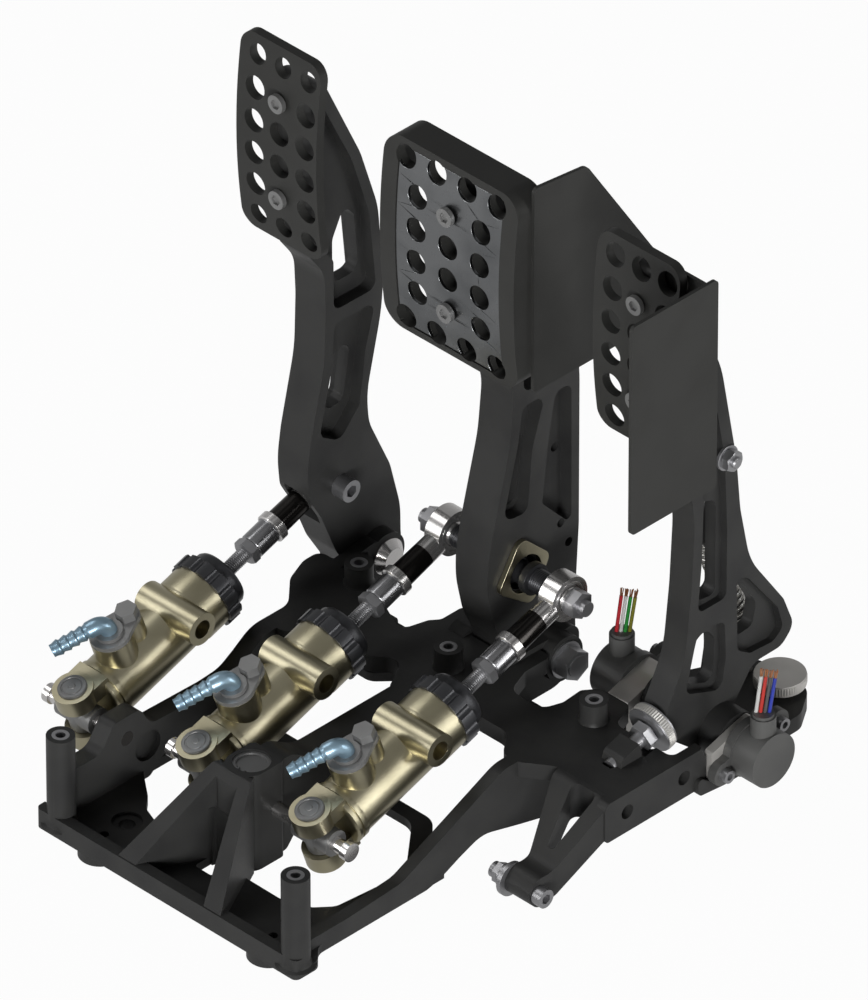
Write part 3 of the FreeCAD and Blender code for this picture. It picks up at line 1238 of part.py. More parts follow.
def return_spring():
    """Envelope of the return spring as a thick-walled tube between its seats."""
    foot, head = spring_line()
    tube = rod(spring_d / 2, foot, head)
    return tube.cut(rod(spring_d / 2 - 2.2, foot, head))


os.makedirs("parts", exist_ok=True)

export("base_frame", base_frame())
export("post_inserts", post_inserts())
export("pillar_plug", pillar_plug())
export("cylinder_spindles", cylinder_spindles())
export("leg_screw", leg_screw())
export("clutch_pivot_bolt", clutch_pivot_bolt())
export("brake_pivot_bolt", brake_pivot_bolt())
export("bearing_blocks", bearing_blocks())
export("sensor_bodies", sensor_bodies())
export("sensor_screws", sensor_screws())
export("sensor_leads", sensor_leads())
export("front_stop_screw", front_stop_screw())
export("rear_stop_screw", [rear_stop_screw(), spring_post()])
export("spring_seat", spring_seat())
export("return_spring", return_spring())

export("clutch_arm", clutch_arm())
export("clutch_pad", clutch_pad())
export("clutch_pad_screws", pad_screws(-clutch_x, pedal_y + pad_face_clutch(), clutch_middle(), clutch_pad_places(), 0))
export("clutch_clevis_screw", clutch_clevis())

export("brake_arm", brake_arm())
export("brake_pad_frame", brake_pad_frame())
export("brake_pad_plate", brake_pad_plate())
export("brake_pad_screws", pad_screws(brake_pad_x, brake_face(), brake_pad_middle(), brake_pad_places(), 0.5))
export("brake_guard", brake_guard())
export("bearing_retainer", bearing_retainer())
export("balance_bearing", balance_bearing())
export("balance_bar", balance_bar())
export("balance_bolts", balance_bolts())
export("balance_balls", balance_balls())

export("throttle_arm", throttle_arm())
export("throttle_pad", throttle_pad())
export("throttle_pad_screws", pad_screws(throttle_x, throttle_face(), throttle_middle(), throttle_pad_places(), 0))
export("throttle_guard", throttle_guard())
export("throttle_shaft", throttle_shaft())

cylinders = (("clutch", -clutch_x, clutch_tail), ("brake_left", -cylinder_x, brake_tail),
             ("brake_right", cylinder_x, brake_tail))
pieces = (("cylinder", cylinder_body()), ("gland", cylinder_gland()), ("cross", cylinder_cross()),
          ("inlet_plate", cylinder_inlet_plate()), ("inlet_elbow", cylinder_inlet_elbow()),
          ("piston", cylinder_piston()), ("rod", cylinder_rod()))
rod_ends = {"clutch": cylinder_rod_end(ball_seat()), "brake_left": cylinder_rod_end(race_seat())}
rod_ends["brake_right"] = rod_ends["brake_left"]
for name, x, tail in cylinders:
    for piece, shape in pieces:
        export(name + "_" + piece, on_cylinder(shape, x, tail))
    export(name + "_rod_end", on_cylinder(rod_ends[name], x, tail))

brake_pin = pin_point(brake_pin_back)
for name, side in (("brake_left", -1), ("brake_right", 1)):
    export(name + "_race", eye_race(vec(side * cylinder_x, brake_pin.y, brake_pin.z)))
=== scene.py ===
import bpy
import json
import math
from mathutils import Matrix, Vector


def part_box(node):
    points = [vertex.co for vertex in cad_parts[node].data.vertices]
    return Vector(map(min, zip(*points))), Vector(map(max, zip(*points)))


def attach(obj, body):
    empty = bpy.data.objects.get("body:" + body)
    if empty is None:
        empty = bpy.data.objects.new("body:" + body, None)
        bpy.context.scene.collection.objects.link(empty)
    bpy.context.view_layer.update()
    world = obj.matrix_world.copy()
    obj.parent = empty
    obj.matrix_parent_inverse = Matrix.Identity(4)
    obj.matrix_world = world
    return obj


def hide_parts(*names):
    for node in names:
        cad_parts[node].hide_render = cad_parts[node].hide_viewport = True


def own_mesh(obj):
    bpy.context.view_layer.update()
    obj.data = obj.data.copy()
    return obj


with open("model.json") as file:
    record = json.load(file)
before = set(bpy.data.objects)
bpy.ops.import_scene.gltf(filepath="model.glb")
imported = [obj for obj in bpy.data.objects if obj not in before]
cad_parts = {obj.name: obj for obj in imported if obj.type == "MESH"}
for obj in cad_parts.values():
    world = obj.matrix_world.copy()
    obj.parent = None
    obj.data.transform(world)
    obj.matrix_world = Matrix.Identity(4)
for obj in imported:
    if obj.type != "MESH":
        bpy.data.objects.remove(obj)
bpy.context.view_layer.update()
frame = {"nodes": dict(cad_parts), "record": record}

nodes = frame["nodes"]
zUp = Vector((0, 0, 1))
xRight = Vector((1, 0, 0))


# Camera and studio. The camera stands far off, as the photograph's nearly parallel lines ask.

cameraSet = {"target": (0.020, 0.0326, 0.174), "toward": (1, -1, 1), "distance": 9.66,
             "lens": 720.0, "sensor": 36.0}

studio = {
    "paper": (0.62, 0.62, 0.62, 1.0),
    "paperRough": 0.8,
    "paperSize": 8.0,
    "paperDrop": 0.0004,          # how far the paper lies under the feet
    "paperSeen": 0.97,            # share of the floor that the camera sees as plain white
    "paperMirrored": 0.45,        # and that metal shows in its reflections
    "skyLight": (0.10, 0.02),     # strength at the horizon and overhead
    "skyMirrored": (0.50, 0.30),  # and in reflections
    "skyFade": 0.7,               # how high the horizon's strength has faded out
    "lampTarget": (0.02, 0.03, 0.16),
    # place, size and power of each soft lamp
    "lamps": {
        "frontSoft": ((1.80, -1.80, 0.26), (1.3, 0.7), 56.0),
        "leftStrip": ((-1.30, -1.90, 0.70), (0.35, 1.5), 9.0),
        "rightStrip": ((2.10, 0.80, 0.70), (0.35, 1.5), 11.0),
        "topSoft": ((-1.28, -0.50, 2.05), (1.1, 1.1), 9.0),
    },
}


def makeCamera():
    lens = bpy.data.cameras.new("photoCamera")
    lens.lens = cameraSet["lens"]
    lens.sensor_width = cameraSet["sensor"]
    camera = bpy.data.objects.new("photoCamera", lens)
    bpy.context.scene.collection.objects.link(camera)
    away = Vector(cameraSet["toward"]).normalized()
    camera.location = Vector(cameraSet["target"]) + away * cameraSet["distance"]
    camera.rotation_euler = (-away).to_track_quat("-Z", "Y").to_euler()
    bpy.context.scene.camera = camera


def makeFloor():
    bpy.ops.object.select_all(action="DESELECT")
    bpy.ops.mesh.primitive_plane_add(size=studio["paperSize"], location=(0, 0, -studio["paperDrop"]))
    floor = bpy.context.object
    floor.name = "floorPaper"
    paper = bpy.data.materials.new("floorPaper")
    paper.use_nodes = True
    tree = paper.node_tree
    shader = tree.nodes["Principled BSDF"]
    shader.inputs["Base Color"].default_value = studio["paper"]
    shader.inputs["Roughness"].default_value = studio["paperRough"]
    path = tree.nodes.new("ShaderNodeLightPath")
    seen = tree.nodes.new("ShaderNodeMath")
    seen.operation = "MULTIPLY"
    seen.inputs[1].default_value = studio["paperSeen"]
    mirrored = tree.nodes.new("ShaderNodeMath")
    mirrored.operation = "MULTIPLY_ADD"
    mirrored.inputs[1].default_value = studio["paperMirrored"]
    glow = tree.nodes.new("ShaderNodeEmission")
    mix = tree.nodes.new("ShaderNodeMixShader")
    tree.links.new(path.outputs["Is Camera Ray"], seen.inputs[0])
    tree.links.new(path.outputs["Is Glossy Ray"], mirrored.inputs[0])
    tree.links.new(seen.outputs[0], mirrored.inputs[2])
    tree.links.new(mirrored.outputs[0], mix.inputs[0])
    tree.links.new(shader.outputs[0], mix.inputs[1])
    tree.links.new(glow.outputs[0], mix.inputs[2])
    tree.links.new(mix.outputs[0], tree.nodes["Material Output"].inputs["Surface"])
    floor.data.materials.append(paper)


def makeSky():
    sky = bpy.data.worlds.new("studioSky")
    bpy.context.scene.world = sky
    sky.use_nodes = True
    tree = sky.node_tree
    place = tree.nodes.new("ShaderNodeTexCoord")
    parts = tree.nodes.new("ShaderNodeSeparateXYZ")
    path = tree.nodes.new("ShaderNodeLightPath")
    choice = tree.nodes.new("ShaderNodeMix")
    tree.links.new(place.outputs["Generated"], parts.inputs[0])
    tree.links.new(path.outputs["Is Glossy Ray"], choice.inputs["Factor"])
    for entry, strengths in (("A", studio["skyLight"]), ("B", studio["skyMirrored"])):
        fade = tree.nodes.new("ShaderNodeMapRange")
        fade.inputs["From Max"].default_value = studio["skyFade"]
        fade.inputs["To Min"].default_value = strengths[0]
        fade.inputs["To Max"].default_value = strengths[1]
        tree.links.new(parts.outputs["Z"], fade.inputs["Value"])
        tree.links.new(fade.outputs["Result"], choice.inputs[entry])
    tree.links.new(choice.outputs["Result"], tree.nodes["Background"].inputs["Strength"])
    tree.nodes["Background"].inputs["Color"].default_value = (1, 1, 1, 1)


def makeLamps():
    for name, (place, size, power) in studio["lamps"].items():
        light = bpy.data.lights.new(name, "AREA")
        light.shape = "RECTANGLE"
        light.size, light.size_y = size
        light.energy = power
        lamp = bpy.data.objects.new(name, light)
        bpy.context.scene.collection.objects.link(lamp)
        lamp.location = place
        toward = Vector(studio["lampTarget"]) - Vector(place)
        lamp.rotation_euler = toward.to_track_quat("-Z", "Y").to_euler()


makeCamera()
makeFloor()
makeSky()
makeLamps()
print("studio ready")


# Finishes. Each fades slowly between a pale and a deep tone. Grain is how often the fine marks come
# per metre along X, Y and Z, and they vary the roughness and the relief.

markSet = {"detail": 3.0, "cloudScale": 40.0, "cloudDetail": 2.0, "cloudShare": (0.3, 0.6), "height": 0.0002}

finishes = {
    "black_anodised": {"pale": (0.040, 0.040, 0.039), "deep": (0.030, 0.030, 0.030), "metal": 0.0,
                       "shine": 0.18, "rough": (0.34, 0.52), "grain": (420, 420, 2400), "relief": 0.16},
    "black_satin": {"pale": (0.038, 0.038, 0.036), "deep": (0.033, 0.033, 0.031), "metal": 0.0, "shine": 0.2,
                    "rough": (0.42, 0.55), "grain": (1500, 1500, 1500), "relief": 0.05},
    "gold_anodised": {"pale": (0.44, 0.405, 0.285), "deep": (0.35, 0.32, 0.22), "metal": 1.0, "shine": 0.5,
                      "rough": (0.26, 0.40), "grain": (900, 900, 900), "relief": 0.06},
    "black_oxide": {"pale": (0.060, 0.061, 0.066), "deep": (0.040, 0.041, 0.044), "metal": 0.5, "shine": 0.4,
                    "rough": (0.24, 0.38), "grain": (700, 700, 700), "relief": 0.04},
    "bright_steel": {"pale": (0.36, 0.36, 0.37), "deep": (0.27, 0.27, 0.28), "metal": 0.75, "shine": 0.5,
                     "rough": (0.28, 0.42), "grain": (900, 300, 900), "relief": 0.03},
    "chrome_plate": {"pale": (0.72, 0.70, 0.69), "deep": (0.60, 0.59, 0.58), "metal": 0.9, "shine": 0.5,
                     "rough": (0.16, 0.26), "grain": (400, 400, 400), "relief": 0.01},
    "zinc_blue": {"pale": (0.34, 0.49, 0.60), "deep": (0.20, 0.31, 0.40), "metal": 0.7, "shine": 0.5,
                  "rough": (0.26, 0.38), "grain": (600, 600, 600), "relief": 0.02},
    "grey_steel": {"pale": (0.24, 0.24, 0.238), "deep": (0.19, 0.19, 0.188), "metal": 0.45, "shine": 0.5,
                   "rough": (0.36, 0.48), "grain": (1200, 1200, 1200), "relief": 0.04},
    "pale_aluminium": {"pale": (0.66, 0.64, 0.61), "deep": (0.52, 0.51, 0.48), "metal": 0.45, "shine": 0.5,
                       "rough": (0.28, 0.44), "grain": (2600, 260, 260), "relief": 0.06},
    "dark_plate": {"pale": (0.20, 0.205, 0.21), "deep": (0.14, 0.145, 0.15), "metal": 1.0, "shine": 0.5,
                   "rough": (0.24, 0.34), "grain": (2200, 300, 300), "relief": 0.05},
    "sensor_plastic": {"pale": (0.105, 0.105, 0.102), "deep": (0.085, 0.085, 0.083), "metal": 0.1,
                       "shine": 0.4, "rough": (0.38, 0.50), "grain": (1200, 1200, 1200), "relief": 0.04},
    "lead_colours": {"pale": (0.55, 0.03, 0.03), "deep": (0.40, 0.02, 0.02), "metal": 0.0, "shine": 0.5,
                     "rough": (0.34, 0.44), "grain": (900, 900, 900), "relief": 0.02},
    "spring_nickel": {"pale": (0.60, 0.59, 0.56), "deep": (0.46, 0.45, 0.43), "metal": 0.9, "shine": 0.5,
                      "rough": (0.18, 0.30), "grain": (900, 900, 900), "relief": 0.02},
}


def newFinish(name, finish):
    material = bpy.data.materials.new(name)
    material.use_nodes = True
    tree = material.node_tree
    link = tree.links.new
    shader = tree.nodes["Principled BSDF"]
    shader.inputs["Metallic"].default_value = finish["metal"]
    shader.inputs["Specular IOR Level"].default_value = finish["shine"]
    place = tree.nodes.new("ShaderNodeTexCoord")
    stretch = tree.nodes.new("ShaderNodeMapping")
    stretch.inputs["Scale"].default_value = finish["grain"]
    marks = tree.nodes.new("ShaderNodeTexNoise")
    marks.inputs["Scale"].default_value = 1.0
    marks.inputs["Detail"].default_value = markSet["detail"]
    cloud = tree.nodes.new("ShaderNodeTexNoise")
    cloud.inputs["Scale"].default_value = markSet["cloudScale"]
    cloud.inputs["Detail"].default_value = markSet["cloudDetail"]
    share = tree.nodes.new("ShaderNodeMapRange")
    share.inputs["From Min"].default_value = markSet["cloudShare"][0]
    share.inputs["From Max"].default_value = markSet["cloudShare"][1]
    tone = tree.nodes.new("ShaderNodeMix")
    tone.data_type = "RGBA"
    tone.inputs["A"].default_value = (*finish["deep"], 1)
    tone.inputs["B"].default_value = (*finish["pale"], 1)
    polish = tree.nodes.new("ShaderNodeMapRange")
    polish.inputs["To Min"].default_value = finish["rough"][0]
    polish.inputs["To Max"].default_value = finish["rough"][1]
    relief = tree.nodes.new("ShaderNodeBump")
    relief.inputs["Strength"].default_value = finish["relief"]
    relief.inputs["Distance"].default_value = markSet["height"]
    link(place.outputs["Object"], stretch.inputs["Vector"])
    link(stretch.outputs["Vector"], marks.inputs["Vector"])
    link(place.outputs["Object"], cloud.inputs["Vector"])
    link(cloud.outputs["Fac"], share.inputs["Value"])
    link(share.outputs["Result"], tone.inputs["Factor"])
    link(tone.outputs["Result"], shader.inputs["Base Color"])
    link(marks.outputs["Fac"], polish.inputs["Value"])
    link(polish.outputs["Result"], shader.inputs["Roughness"])
    link(marks.outputs["Fac"], relief.inputs["Height"])
    link(relief.outputs["Normal"], shader.inputs["Normal"])
    return material


# A second colour between two distances along a line, such as the dark waist of a plated shank
def addBand(material, start, unit, band, color):
    tree = material.node_tree
    link = tree.links.new
    shader = tree.nodes["Principled BSDF"]
    place = tree.nodes.new("ShaderNodeTexCoord")
    away = tree.nodes.new("ShaderNodeVectorMath")
    away.operation = "SUBTRACT"
    away.inputs[1].default_value = start
    along = tree.nodes.new("ShaderNodeVectorMath")
    along.operation = "DOT_PRODUCT"
    along.inputs[1].default_value = unit
    link(place.outputs["Object"], away.inputs[0])
    link(away.outputs["Vector"], along.inputs[0])
    low, high = band
    inside = tree.nodes.new("ShaderNodeMath")
    inside.operation = "COMPARE"
    inside.inputs[1].default_value = (low + high) / 2
    inside.inputs[2].default_value = (high - low) / 2
    link(along.outputs["Value"], inside.inputs[0])
    plain = shader.inputs["Base Color"].links[0].from_socket
    paint = tree.nodes.new("ShaderNodeMix")
    paint.data_type = "RGBA"
    paint.inputs["B"].default_value = (*color, 1)
    link(inside.outputs[0], paint.inputs["Factor"])
    link(plain, paint.inputs["A"])
    link(paint.outputs["Result"], shader.inputs["Base Color"])


def giveFinish(piece, material):
    piece.data.materials.clear()
    piece.data.materials.append(material)


palette = {name: newFinish(name, finish) for name, finish in finishes.items()}


# CAD nodes: a finish each, broken edges and even shading

edgeSet = {"weld": 0.000002, "segments": 2, "sharpFrom": 40}
edgeWidths = {"base_frame": 0.0006, "clutch_arm": 0.0006, "brake_arm": 0.0006, "throttle_arm": 0.0006,
              "clutch_pad": 0.0007, "throttle_pad": 0.0007, "brake_pad_frame": 0.0008, "brake_guard": 0.0004,
              "throttle_guard": 0.0004, "bearing_blocks": 0.0005, "other": 0.0003}


def dressNode(name, finishName):
    node = nodes[name]
    giveFinish(node, palette[finishName])
    for face in node.data.polygons:
        face.use_smooth = True
        face.material_index = 0
    weld = node.modifiers.new("weld", "WELD")
    weld.merge_threshold = edgeSet["weld"]
    broken = node.modifiers.new("brokenEdge", "BEVEL")
    broken.width = edgeWidths.get(name, edgeWidths["other"])
    broken.segments = edgeSet["segments"]
    broken.limit_method = "ANGLE"
    broken.angle_limit = math.radians(edgeSet["sharpFrom"])
    broken.harden_normals = True
    even = node.modifiers.new("evenShading", "WEIGHTED_NORMAL")
    even.keep_sharp = True


for part in frame["record"]["subparts"]:
    dressNode(part["node"], part["material_slot"])
print("nodes dressed")


# Making by hand: bars, rings and hexagons are made standing along Z, then stood in place and joined

def clearSelection():
    if bpy.context.object and bpy.context.object.mode != "OBJECT":
        bpy.ops.object.mode_set(mode="OBJECT")
    bpy.ops.object.select_all(action="DESELECT")


# Turned bar: steps are (height, radius), and the end face is pulled and scaled from one to the next
def turnBar(steps, sides=48):
    clearSelection()
    bottom, radius = steps[0]
    bpy.ops.mesh.primitive_circle_add(vertices=sides, radius=radius, fill_type="NGON",
                                      location=(0, 0, bottom))
    piece = bpy.context.object
    bpy.ops.object.transform_apply(location=True)
    bpy.ops.object.mode_set(mode="EDIT")
    bpy.ops.mesh.select_all(action="SELECT")
    for height, wide in steps[1:]:
        bpy.ops.mesh.extrude_region_move(TRANSFORM_OT_translate={"value": (0, 0, height - bottom)})
        bpy.ops.transform.resize(value=(wide / radius, wide / radius, 1), center_override=(0, 0, height))
        bottom, radius = height, wide
    bpy.ops.mesh.select_all(action="SELECT")
    bpy.ops.mesh.normals_make_consistent(inside=False)
    bpy.ops.object.mode_set(mode="OBJECT")
    return piece


# Wound wire or thread ridge: a small ring of points set out at the radius and screwed about Z
def windRing(radius, thick, high, pitch, turns, corners, steps):
    clearSelection()
    bpy.ops.mesh.primitive_circle_add(vertices=corners, radius=1, rotation=(math.pi / 2, 0, 0))
    piece = bpy.context.object
    bpy.ops.object.transform_apply(rotation=True)
    bpy.ops.object.mode_set(mode="EDIT")
    bpy.ops.mesh.select_all(action="SELECT")
    bpy.ops.transform.resize(value=(thick, 1, high))
    bpy.ops.transform.translate(value=(radius, 0, 0))
    bpy.ops.object.mode_set(mode="OBJECT")
    screw = piece.modifiers.new("wind", "SCREW")
    screw.angle = 2 * math.pi * turns
    screw.screw_offset = pitch * turns
    screw.steps = screw.render_steps = int(steps * turns)
    bpy.ops.object.modifier_apply(modifier=screw.name)
    bpy.ops.object.mode_set(mode="EDIT")
    bpy.ops.mesh.select_mode(type="EDGE")
    bpy.ops.mesh.select_all(action="DESELECT")
    bpy.ops.mesh.select_non_manifold()
    bpy.ops.mesh.edge_face_add()
    bpy.ops.mesh.select_mode(type="VERT")
    bpy.ops.mesh.select_all(action="SELECT")
    bpy.ops.mesh.normals_make_consistent(inside=False)
    bpy.ops.object.mode_set(mode="OBJECT")
    return piece


# Hexagon with its corners turned off round at both ends, down to a circle inside its flats
hexagonSet = {"circle": 0.47, "turnedOff": 0.16, "clear": 1.02, "past": 0.0001}


def cutHexagon(flats, height):
    clearSelection()
    corner = flats / 2 / math.cos(math.pi / 6)
    bpy.ops.mesh.primitive_cylinder_add(vertices=6, radius=corner, depth=height, location=(0, 0, height / 2))
    piece = bpy.context.object
    bpy.ops.object.transform_apply(location=True)
    circle, clear = flats * hexagonSet["circle"], corner * hexagonSet["clear"]
    turnedOff, past = hexagonSet["turnedOff"], hexagonSet["past"]
    tool = turnBar([(-past, circle), (height * turnedOff, clear), (height * (1 - turnedOff), clear),
                    (height + past, circle)])
    clearSelection()
    piece.select_set(True)
    bpy.context.view_layer.objects.active = piece
    rounding = piece.modifiers.new("rounding", "BOOLEAN")
    rounding.operation = "INTERSECT"
    rounding.object = tool
    bpy.ops.object.modifier_apply(modifier=rounding.name)
    bpy.data.objects.remove(tool)
    return piece


# Stands a piece along a direction at a point
def stand(piece, start, unit):
    piece.matrix_world = Matrix.Translation(start) @ unit.to_track_quat("Z", "Y").to_matrix().to_4x4()
    return piece


# Joins pieces where they stand. Edges under the smoothing angle, in degrees, are shaded round
def joinPieces(pieces, name, finish=None, smooth=32):
    clearSelection()
    for piece in pieces:
        piece.select_set(True)
    bpy.context.view_layer.objects.active = pieces[0]
    bpy.ops.object.transform_apply(location=True, rotation=True, scale=True)
    if len(pieces) > 1:
        bpy.ops.object.join()
    whole = bpy.context.object
    whole.name = whole.data.name = name
    bpy.ops.object.shade_smooth_by_angle(angle=math.radians(smooth))
    if finish:
        giveFinish(whole, finish)
    return whole


# Return spring: a coil with closed ends, in place of its plain envelope

springSet = {"foot": (0.092, 0.1721, 0.0677), "head": (0.092, 0.1461, 0.1350), "outer": 0.0075,
             "wire": 0.00105, "turns": 16, "keep": 0.703, "corners": 10, "steps": 26, "endSteps": 36,
             "smooth": 60}


def makeReturnSpring():
    foot, head = Vector(springSet["foot"]), Vector(springSet["head"])
    unit = (head - foot).normalized()
    wire, turns, corners = springSet["wire"], springSet["turns"], springSet["corners"]
    radius = springSet["outer"] - wire
    # wire is half the wire's thickness, and each end has one closed turn of that pitch
    free = (head - foot).length - 4 * wire
    coil = windRing(radius, wire, wire, free / turns, turns, corners, springSet["steps"])
    pieces = [stand(coil, foot + unit * 2 * wire, unit)]
    for start in (foot + unit * wire, head - unit * 3 * wire):
        closed = windRing(radius, wire, wire, 2 * wire, 1.0, corners, springSet["endSteps"])
        pieces.append(stand(closed, start, unit))
    spring = joinPieces(pieces, "returnSpring", palette["spring_nickel"], springSet["smooth"])
    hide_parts("return_spring")
    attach(spring, "spring_unit")
    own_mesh(spring)


makeReturnSpring()
print("return spring wound")


# Sensor leads: four colours on each side, each with a short bare copper end

leadSet = {
    "radius": 0.00095, "gap": 0.00215, "inset": 0.00285, "sunk": 0.001,
    "jacket": 0.0225, "shorter": 0.0004,   # length of the first jacket, and how much less the next has
    "across": (0.7071, 0.7071, 0), "lean": 0.0026, "fan": 0.05,
    "cutEdge": 0.0002, "cutShare": 0.8, "sides": 20, "shade": 0.7,
    "left": ((0.50, 0.02, 0.03), (0.68, 0.68, 0.66), (0.02, 0.28, 0.04), (0.22, 0.21, 0.02)),
    "right": ((0.68, 0.68, 0.66), (0.55, 0.04, 0.03), (0.09, 0.09, 0.09), (0.03, 0.05, 0.40)),
    "copper": (0.60, 0.29, 0.15), "copperShade": (0.40, 0.17, 0.08),
    "smooth": 40,
}
strandSet = {"count": 5, "radius": 0.0003, "ring": 1.5, "splay": 1.8, "length": 0.0050,
             "shortest": 0.82, "longer": 0.045, "tipShare": 0.9, "sunk": 0.0005, "sides": 8}


def makeJacket(foot, end, color, name):
    r = leadSet["radius"]
    length = (end - foot).length
    shade = tuple(channel * leadSet["shade"] for channel in color)
    lead = turnBar([(0, r), (length - leadSet["cutEdge"], r), (length, r * leadSet["cutShare"])],
                   leadSet["sides"])
    lead.data.materials.append(newFinish(name, {**finishes["lead_colours"], "pale": color, "deep": shade}))
    return stand(lead, foot, (end - foot).normalized())


# Bare strands at a jacket's end, of uneven lengths and splayed a little
def makeStrands(end, way, turned, copper):
    size = strandSet
    strands = []
    for index in range(size["count"]):
        aside = index * 2 * math.pi / size["count"] + turned
        root = Vector((math.cos(aside), math.sin(aside), 0)) * size["radius"] * size["ring"]
        length = size["length"] * (size["shortest"] + size["longer"] * index)
        run = root * size["splay"] + way * length - root
        strand = turnBar([(0, size["radius"]), (run.length, size["radius"] * size["tipShare"])],
                         size["sides"])
        strand.data.materials.append(copper)
        strands.append(stand(strand, end + root - way * size["sunk"], run.normalized()))
    return strands


def makeLeads():
    low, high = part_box("sensor_leads")
    across = Vector(leadSet["across"])
    tones = {"pale": leadSet["copper"], "deep": leadSet["copperShade"]}
    copper = newFinish("leadCopper", {**finishes["bright_steel"], **tones})
    pieces = []
    for side, middle in (("left", low.x + leadSet["inset"]), ("right", high.x - leadSet["inset"])):
        for index, color in enumerate(leadSet[side]):
            place = across * leadSet["gap"] * (index - (len(leadSet[side]) - 1) / 2)
            foot = Vector((middle, (low.y + high.y) / 2, low.z - leadSet["sunk"])) + place
            rise = zUp * (leadSet["jacket"] - leadSet["shorter"] * index)
            end = foot + place * leadSet["fan"] + across * leadSet["lean"] + rise
            pieces.append(makeJacket(foot, end, color, side + "Lead%d" % index))
            pieces.extend(makeStrands(end, (end - foot).normalized(), index, copper))
    leads = joinPieces(pieces, "sensorLeads", None, leadSet["smooth"])
    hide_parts("sensor_leads")
    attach(leads, "base")


makeLeads()
print("leads laid")


# Master cylinders: rolled threads and lock nuts on the pull rods, grooved discs at the tails, banded shanks

cylinderSet = {
    "tilt": 18.7, "length": 0.177,
    "pins": {"clutch": (-0.1141, 0.0911, 0.0921), "brake_left": (-0.0391, 0.1020, 0.0921),
             "brake_right": (0.0391, 0.1020, 0.0921)},
    # distances along the rod are from the tail spindle
    "radius": 0.00397, "root": 0.00352, "pitch": 0.00106, "ridge": 0.46, "corners": 4, "steps": 28,
    "foot": 0.042, "threadFrom": 0.0985, "threadTo": 0.1175, "runIn": 0.0006, "runOut": 0.0004, "end": 0.1365,
    "nutAt": 0.118, "nutHigh": 0.005, "nutFlats": 0.0127,
    "waist": (0.1418, 0.1585), "waistColor": (0.030, 0.028, 0.026),
    "neck": (0.1220, 0.1364), "neckColor": (0.30, 0.30, 0.31),
    "railEnd": (0.0780, 0.0840),
}
rodTilt = math.radians(cylinderSet["tilt"])
rodWay = Vector((0, math.cos(rodTilt), math.sin(rodTilt)))
rodUp = Vector((0, -rodWay.z, rodWay.y))

# tail disc: two rings with a groove between them, and a turned centre, as heights and shares of the radius
discSet = {
    "up": 0.0188, "radius": 0.0075, "sides": 64, "smooth": 20,
    "steps": ((-0.0006, 0.97), (0.0003, 0.97), (0.0005, 0.93), (0.0005, 0.76), (0.0001, 0.73),
              (0.0001, 0.66), (0.0004, 0.63), (0.0004, 0.24), (0.0008, 0.20), (0.0008, 0.02)),
}


def pieceName(side, what):
    words = side.split("_")
    return words[0] + "".join(word.capitalize() for word in words[1:]) + what


def makePullRod(side, tail):
    size = cylinderSet
    low, high = size["threadFrom"], size["threadTo"]
    radius, root, pitch = size["radius"], size["root"], size["pitch"]
    core = turnBar([(size["foot"], radius), (low - size["runIn"], radius), (low, root),
                    (high, root), (high + size["runOut"], radius), (size["end"], radius)])
    ridge = windRing(root, radius - root, pitch * size["ridge"], pitch, (high - low) / pitch,
                     size["corners"], size["steps"])
    nut = cutHexagon(size["nutFlats"], size["nutHigh"])
    rod = joinPieces([stand(core, tail, rodWay), stand(ridge, tail + rodWay * low, rodWay),
                      stand(nut, tail + rodWay * size["nutAt"], rodWay)], pieceName(side, "PullRod"),
                     palette["bright_steel"])
    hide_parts(side + "_rod")
    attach(rod, side + "_plunger")


def makeTailDisc(side, tail):
    r = discSet["radius"]
    disc = turnBar([(height, r * share) for height, share in discSet["steps"]], discSet["sides"])
    disc = joinPieces([stand(disc, tail + rodUp * discSet["up"], rodUp)], pieceName(side, "TailDisc"),
                      palette["grey_steel"], discSet["smooth"])
    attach(disc, side + "_master")


for side, pin in cylinderSet["pins"].items():
    tail = Vector(pin) - rodWay * cylinderSet["length"]
    makePullRod(side, tail)
    makeTailDisc(side, tail)
    shank = newFinish(pieceName(side, "Shank"), finishes["chrome_plate"])
    addBand(shank, tail, rodWay, cylinderSet["waist"], cylinderSet["waistColor"])
    addBand(shank, tail, rodWay, cylinderSet["neck"], cylinderSet["neckColor"])
    giveFinish(nodes[side + "_rod_end"], shank)
# the end of the clutch spindle that shows in the left rail is blackened
spindles = newFinish("cylinderSpindles", finishes["chrome_plate"])
addBand(spindles, (0, 0, 0), -xRight, cylinderSet["railEnd"], cylinderSet["waistColor"])
giveFinish(nodes["cylinder_spindles"], spindles)
print("pull rods threaded")


# Balance bar: threads beside its two flanges

balanceSet = {"pin": (0.1020, 0.0921), "from": 0.0213, "to": 0.0325, "radius": 0.0060, "proud": 0.00035,
              "pitch": 0.00125, "ridge": 0.45, "corners": 4, "steps": 32}


def makeBalanceThreads():
    size = balanceSet
    y, z = size["pin"]
    turns = (size["to"] - size["from"]) / size["pitch"]
    pieces = []
    for start in (size["from"], -size["to"]):
        ridge = windRing(size["radius"], size["proud"], size["pitch"] * size["ridge"], size["pitch"],
                         turns, size["corners"], size["steps"])
        pieces.append(stand(ridge, Vector((start, y, z)), xRight))
    threads = joinPieces(pieces, "balanceThreads", palette["black_oxide"])
    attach(threads, "balance")


makeBalanceThreads()
print("balance bar threaded")


# Stop screws: a straight knurl round each disc

knurlSet = {"teeth": 60, "root": 0.01295, "tip": 0.01335, "high": 0.0044, "tipShare": 0.86, "smooth": 10,
            "rear": ((0.115, 0.1766, 0.0404), (0, 0, 1)), "discHigh": 0.006,
            "front": ((0.113, 0.0929, 0.0580), (0, 0.9563, 0.2924))}


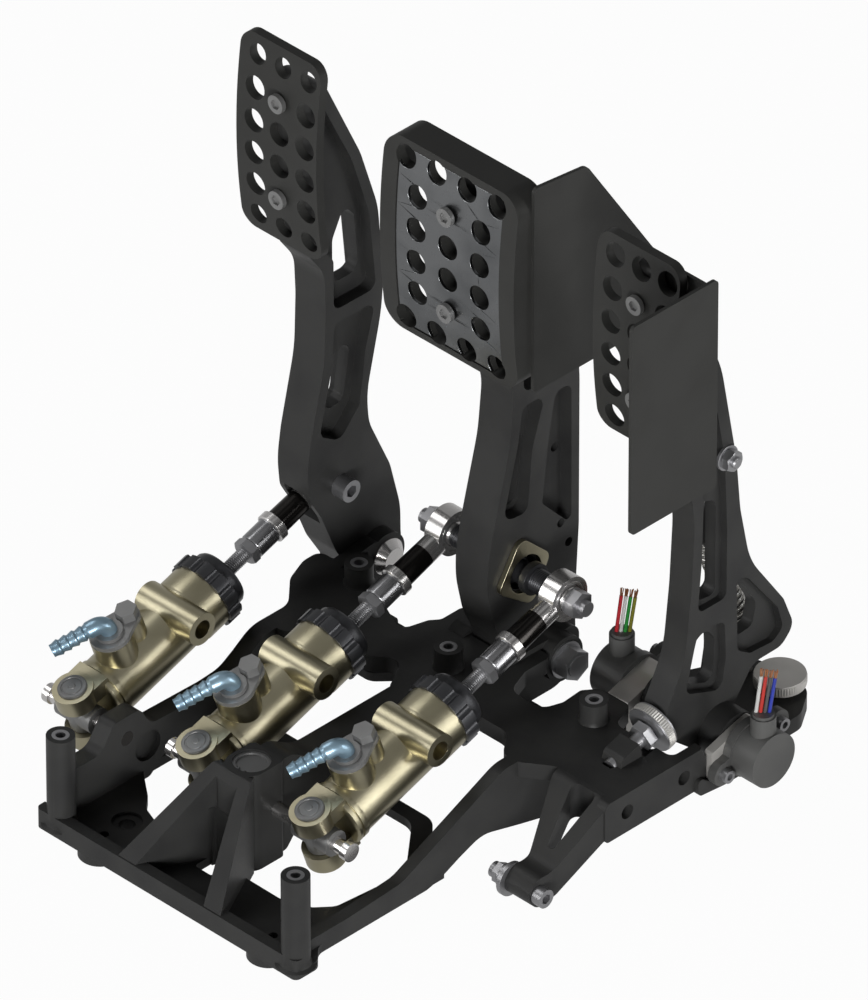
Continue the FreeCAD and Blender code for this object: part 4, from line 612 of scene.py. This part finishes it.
# Every second corner of a many-sided ring is drawn out to a tooth
def makeKnurl(name, start, unit, along):
    clearSelection()
    bpy.ops.mesh.primitive_cylinder_add(vertices=knurlSet["teeth"] * 2, radius=knurlSet["root"],
                                        depth=knurlSet["high"], location=(0, 0, along))
    ring = bpy.context.object
    bpy.ops.object.transform_apply(location=True)
    for vertex in ring.data.vertices:
        angle = math.atan2(vertex.co.y, vertex.co.x) * knurlSet["teeth"] / math.pi
        vertex.select = round(angle) % 2 == 0
    for edge in ring.data.edges:
        edge.select = False
    for face in ring.data.polygons:
        face.select = False
    bpy.ops.object.mode_set(mode="EDIT")
    spread = knurlSet["tip"] / knurlSet["root"]
    bpy.ops.transform.resize(value=(spread, spread, knurlSet["tipShare"]), center_override=(0, 0, along))
    bpy.ops.object.mode_set(mode="OBJECT")
    knurl = joinPieces([stand(ring, Vector(start), Vector(unit))], name, palette["pale_aluminium"],
                       knurlSet["smooth"])
    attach(knurl, "base")


makeKnurl("rearStopKnurl", *knurlSet["rear"], knurlSet["discHigh"] / 2)
makeKnurl("frontStopKnurl", *knurlSet["front"], -knurlSet["discHigh"] / 2)
print("knurls cut")


# Throttle arm: the small hexagon bolt and washer on its right face

armBoltSet = {"at": (0.1205, 0.1316, 0.2000), "flats": 0.0100, "high": 0.0048,
              "washer": 0.0068, "thick": 0.0013, "sunk": 0.0004, "edge": 0.0002, "edgeShare": 0.96,
              "stud": 0.003, "studPast": 0.0012, "studEdge": 0.0006, "studTip": 0.0024, "studSides": 32}


def makeArmBolt():
    size = armBoltSet
    radius, thick = size["washer"], size["thick"]
    washer = turnBar([(-size["sunk"], radius), (thick - size["edge"], radius),
                      (thick, radius * size["edgeShare"])])
    head = cutHexagon(size["flats"], size["high"])
    past = size["high"] + size["studPast"]
    stud = turnBar([(0, size["stud"]), (past, size["stud"]), (past + size["studEdge"], size["studTip"])],
                   size["studSides"])
    face = Vector(size["at"])
    seat = face + xRight * thick
    bolt = joinPieces([stand(washer, face, xRight), stand(head, seat, xRight), stand(stud, seat, xRight)],
                      "throttleArmBolt", palette["bright_steel"])
    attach(bolt, "throttle_pedal")


makeArmBolt()
print("arm bolt set")


# Plain tones
bpy.context.scene.view_settings.view_transform = "Standard"
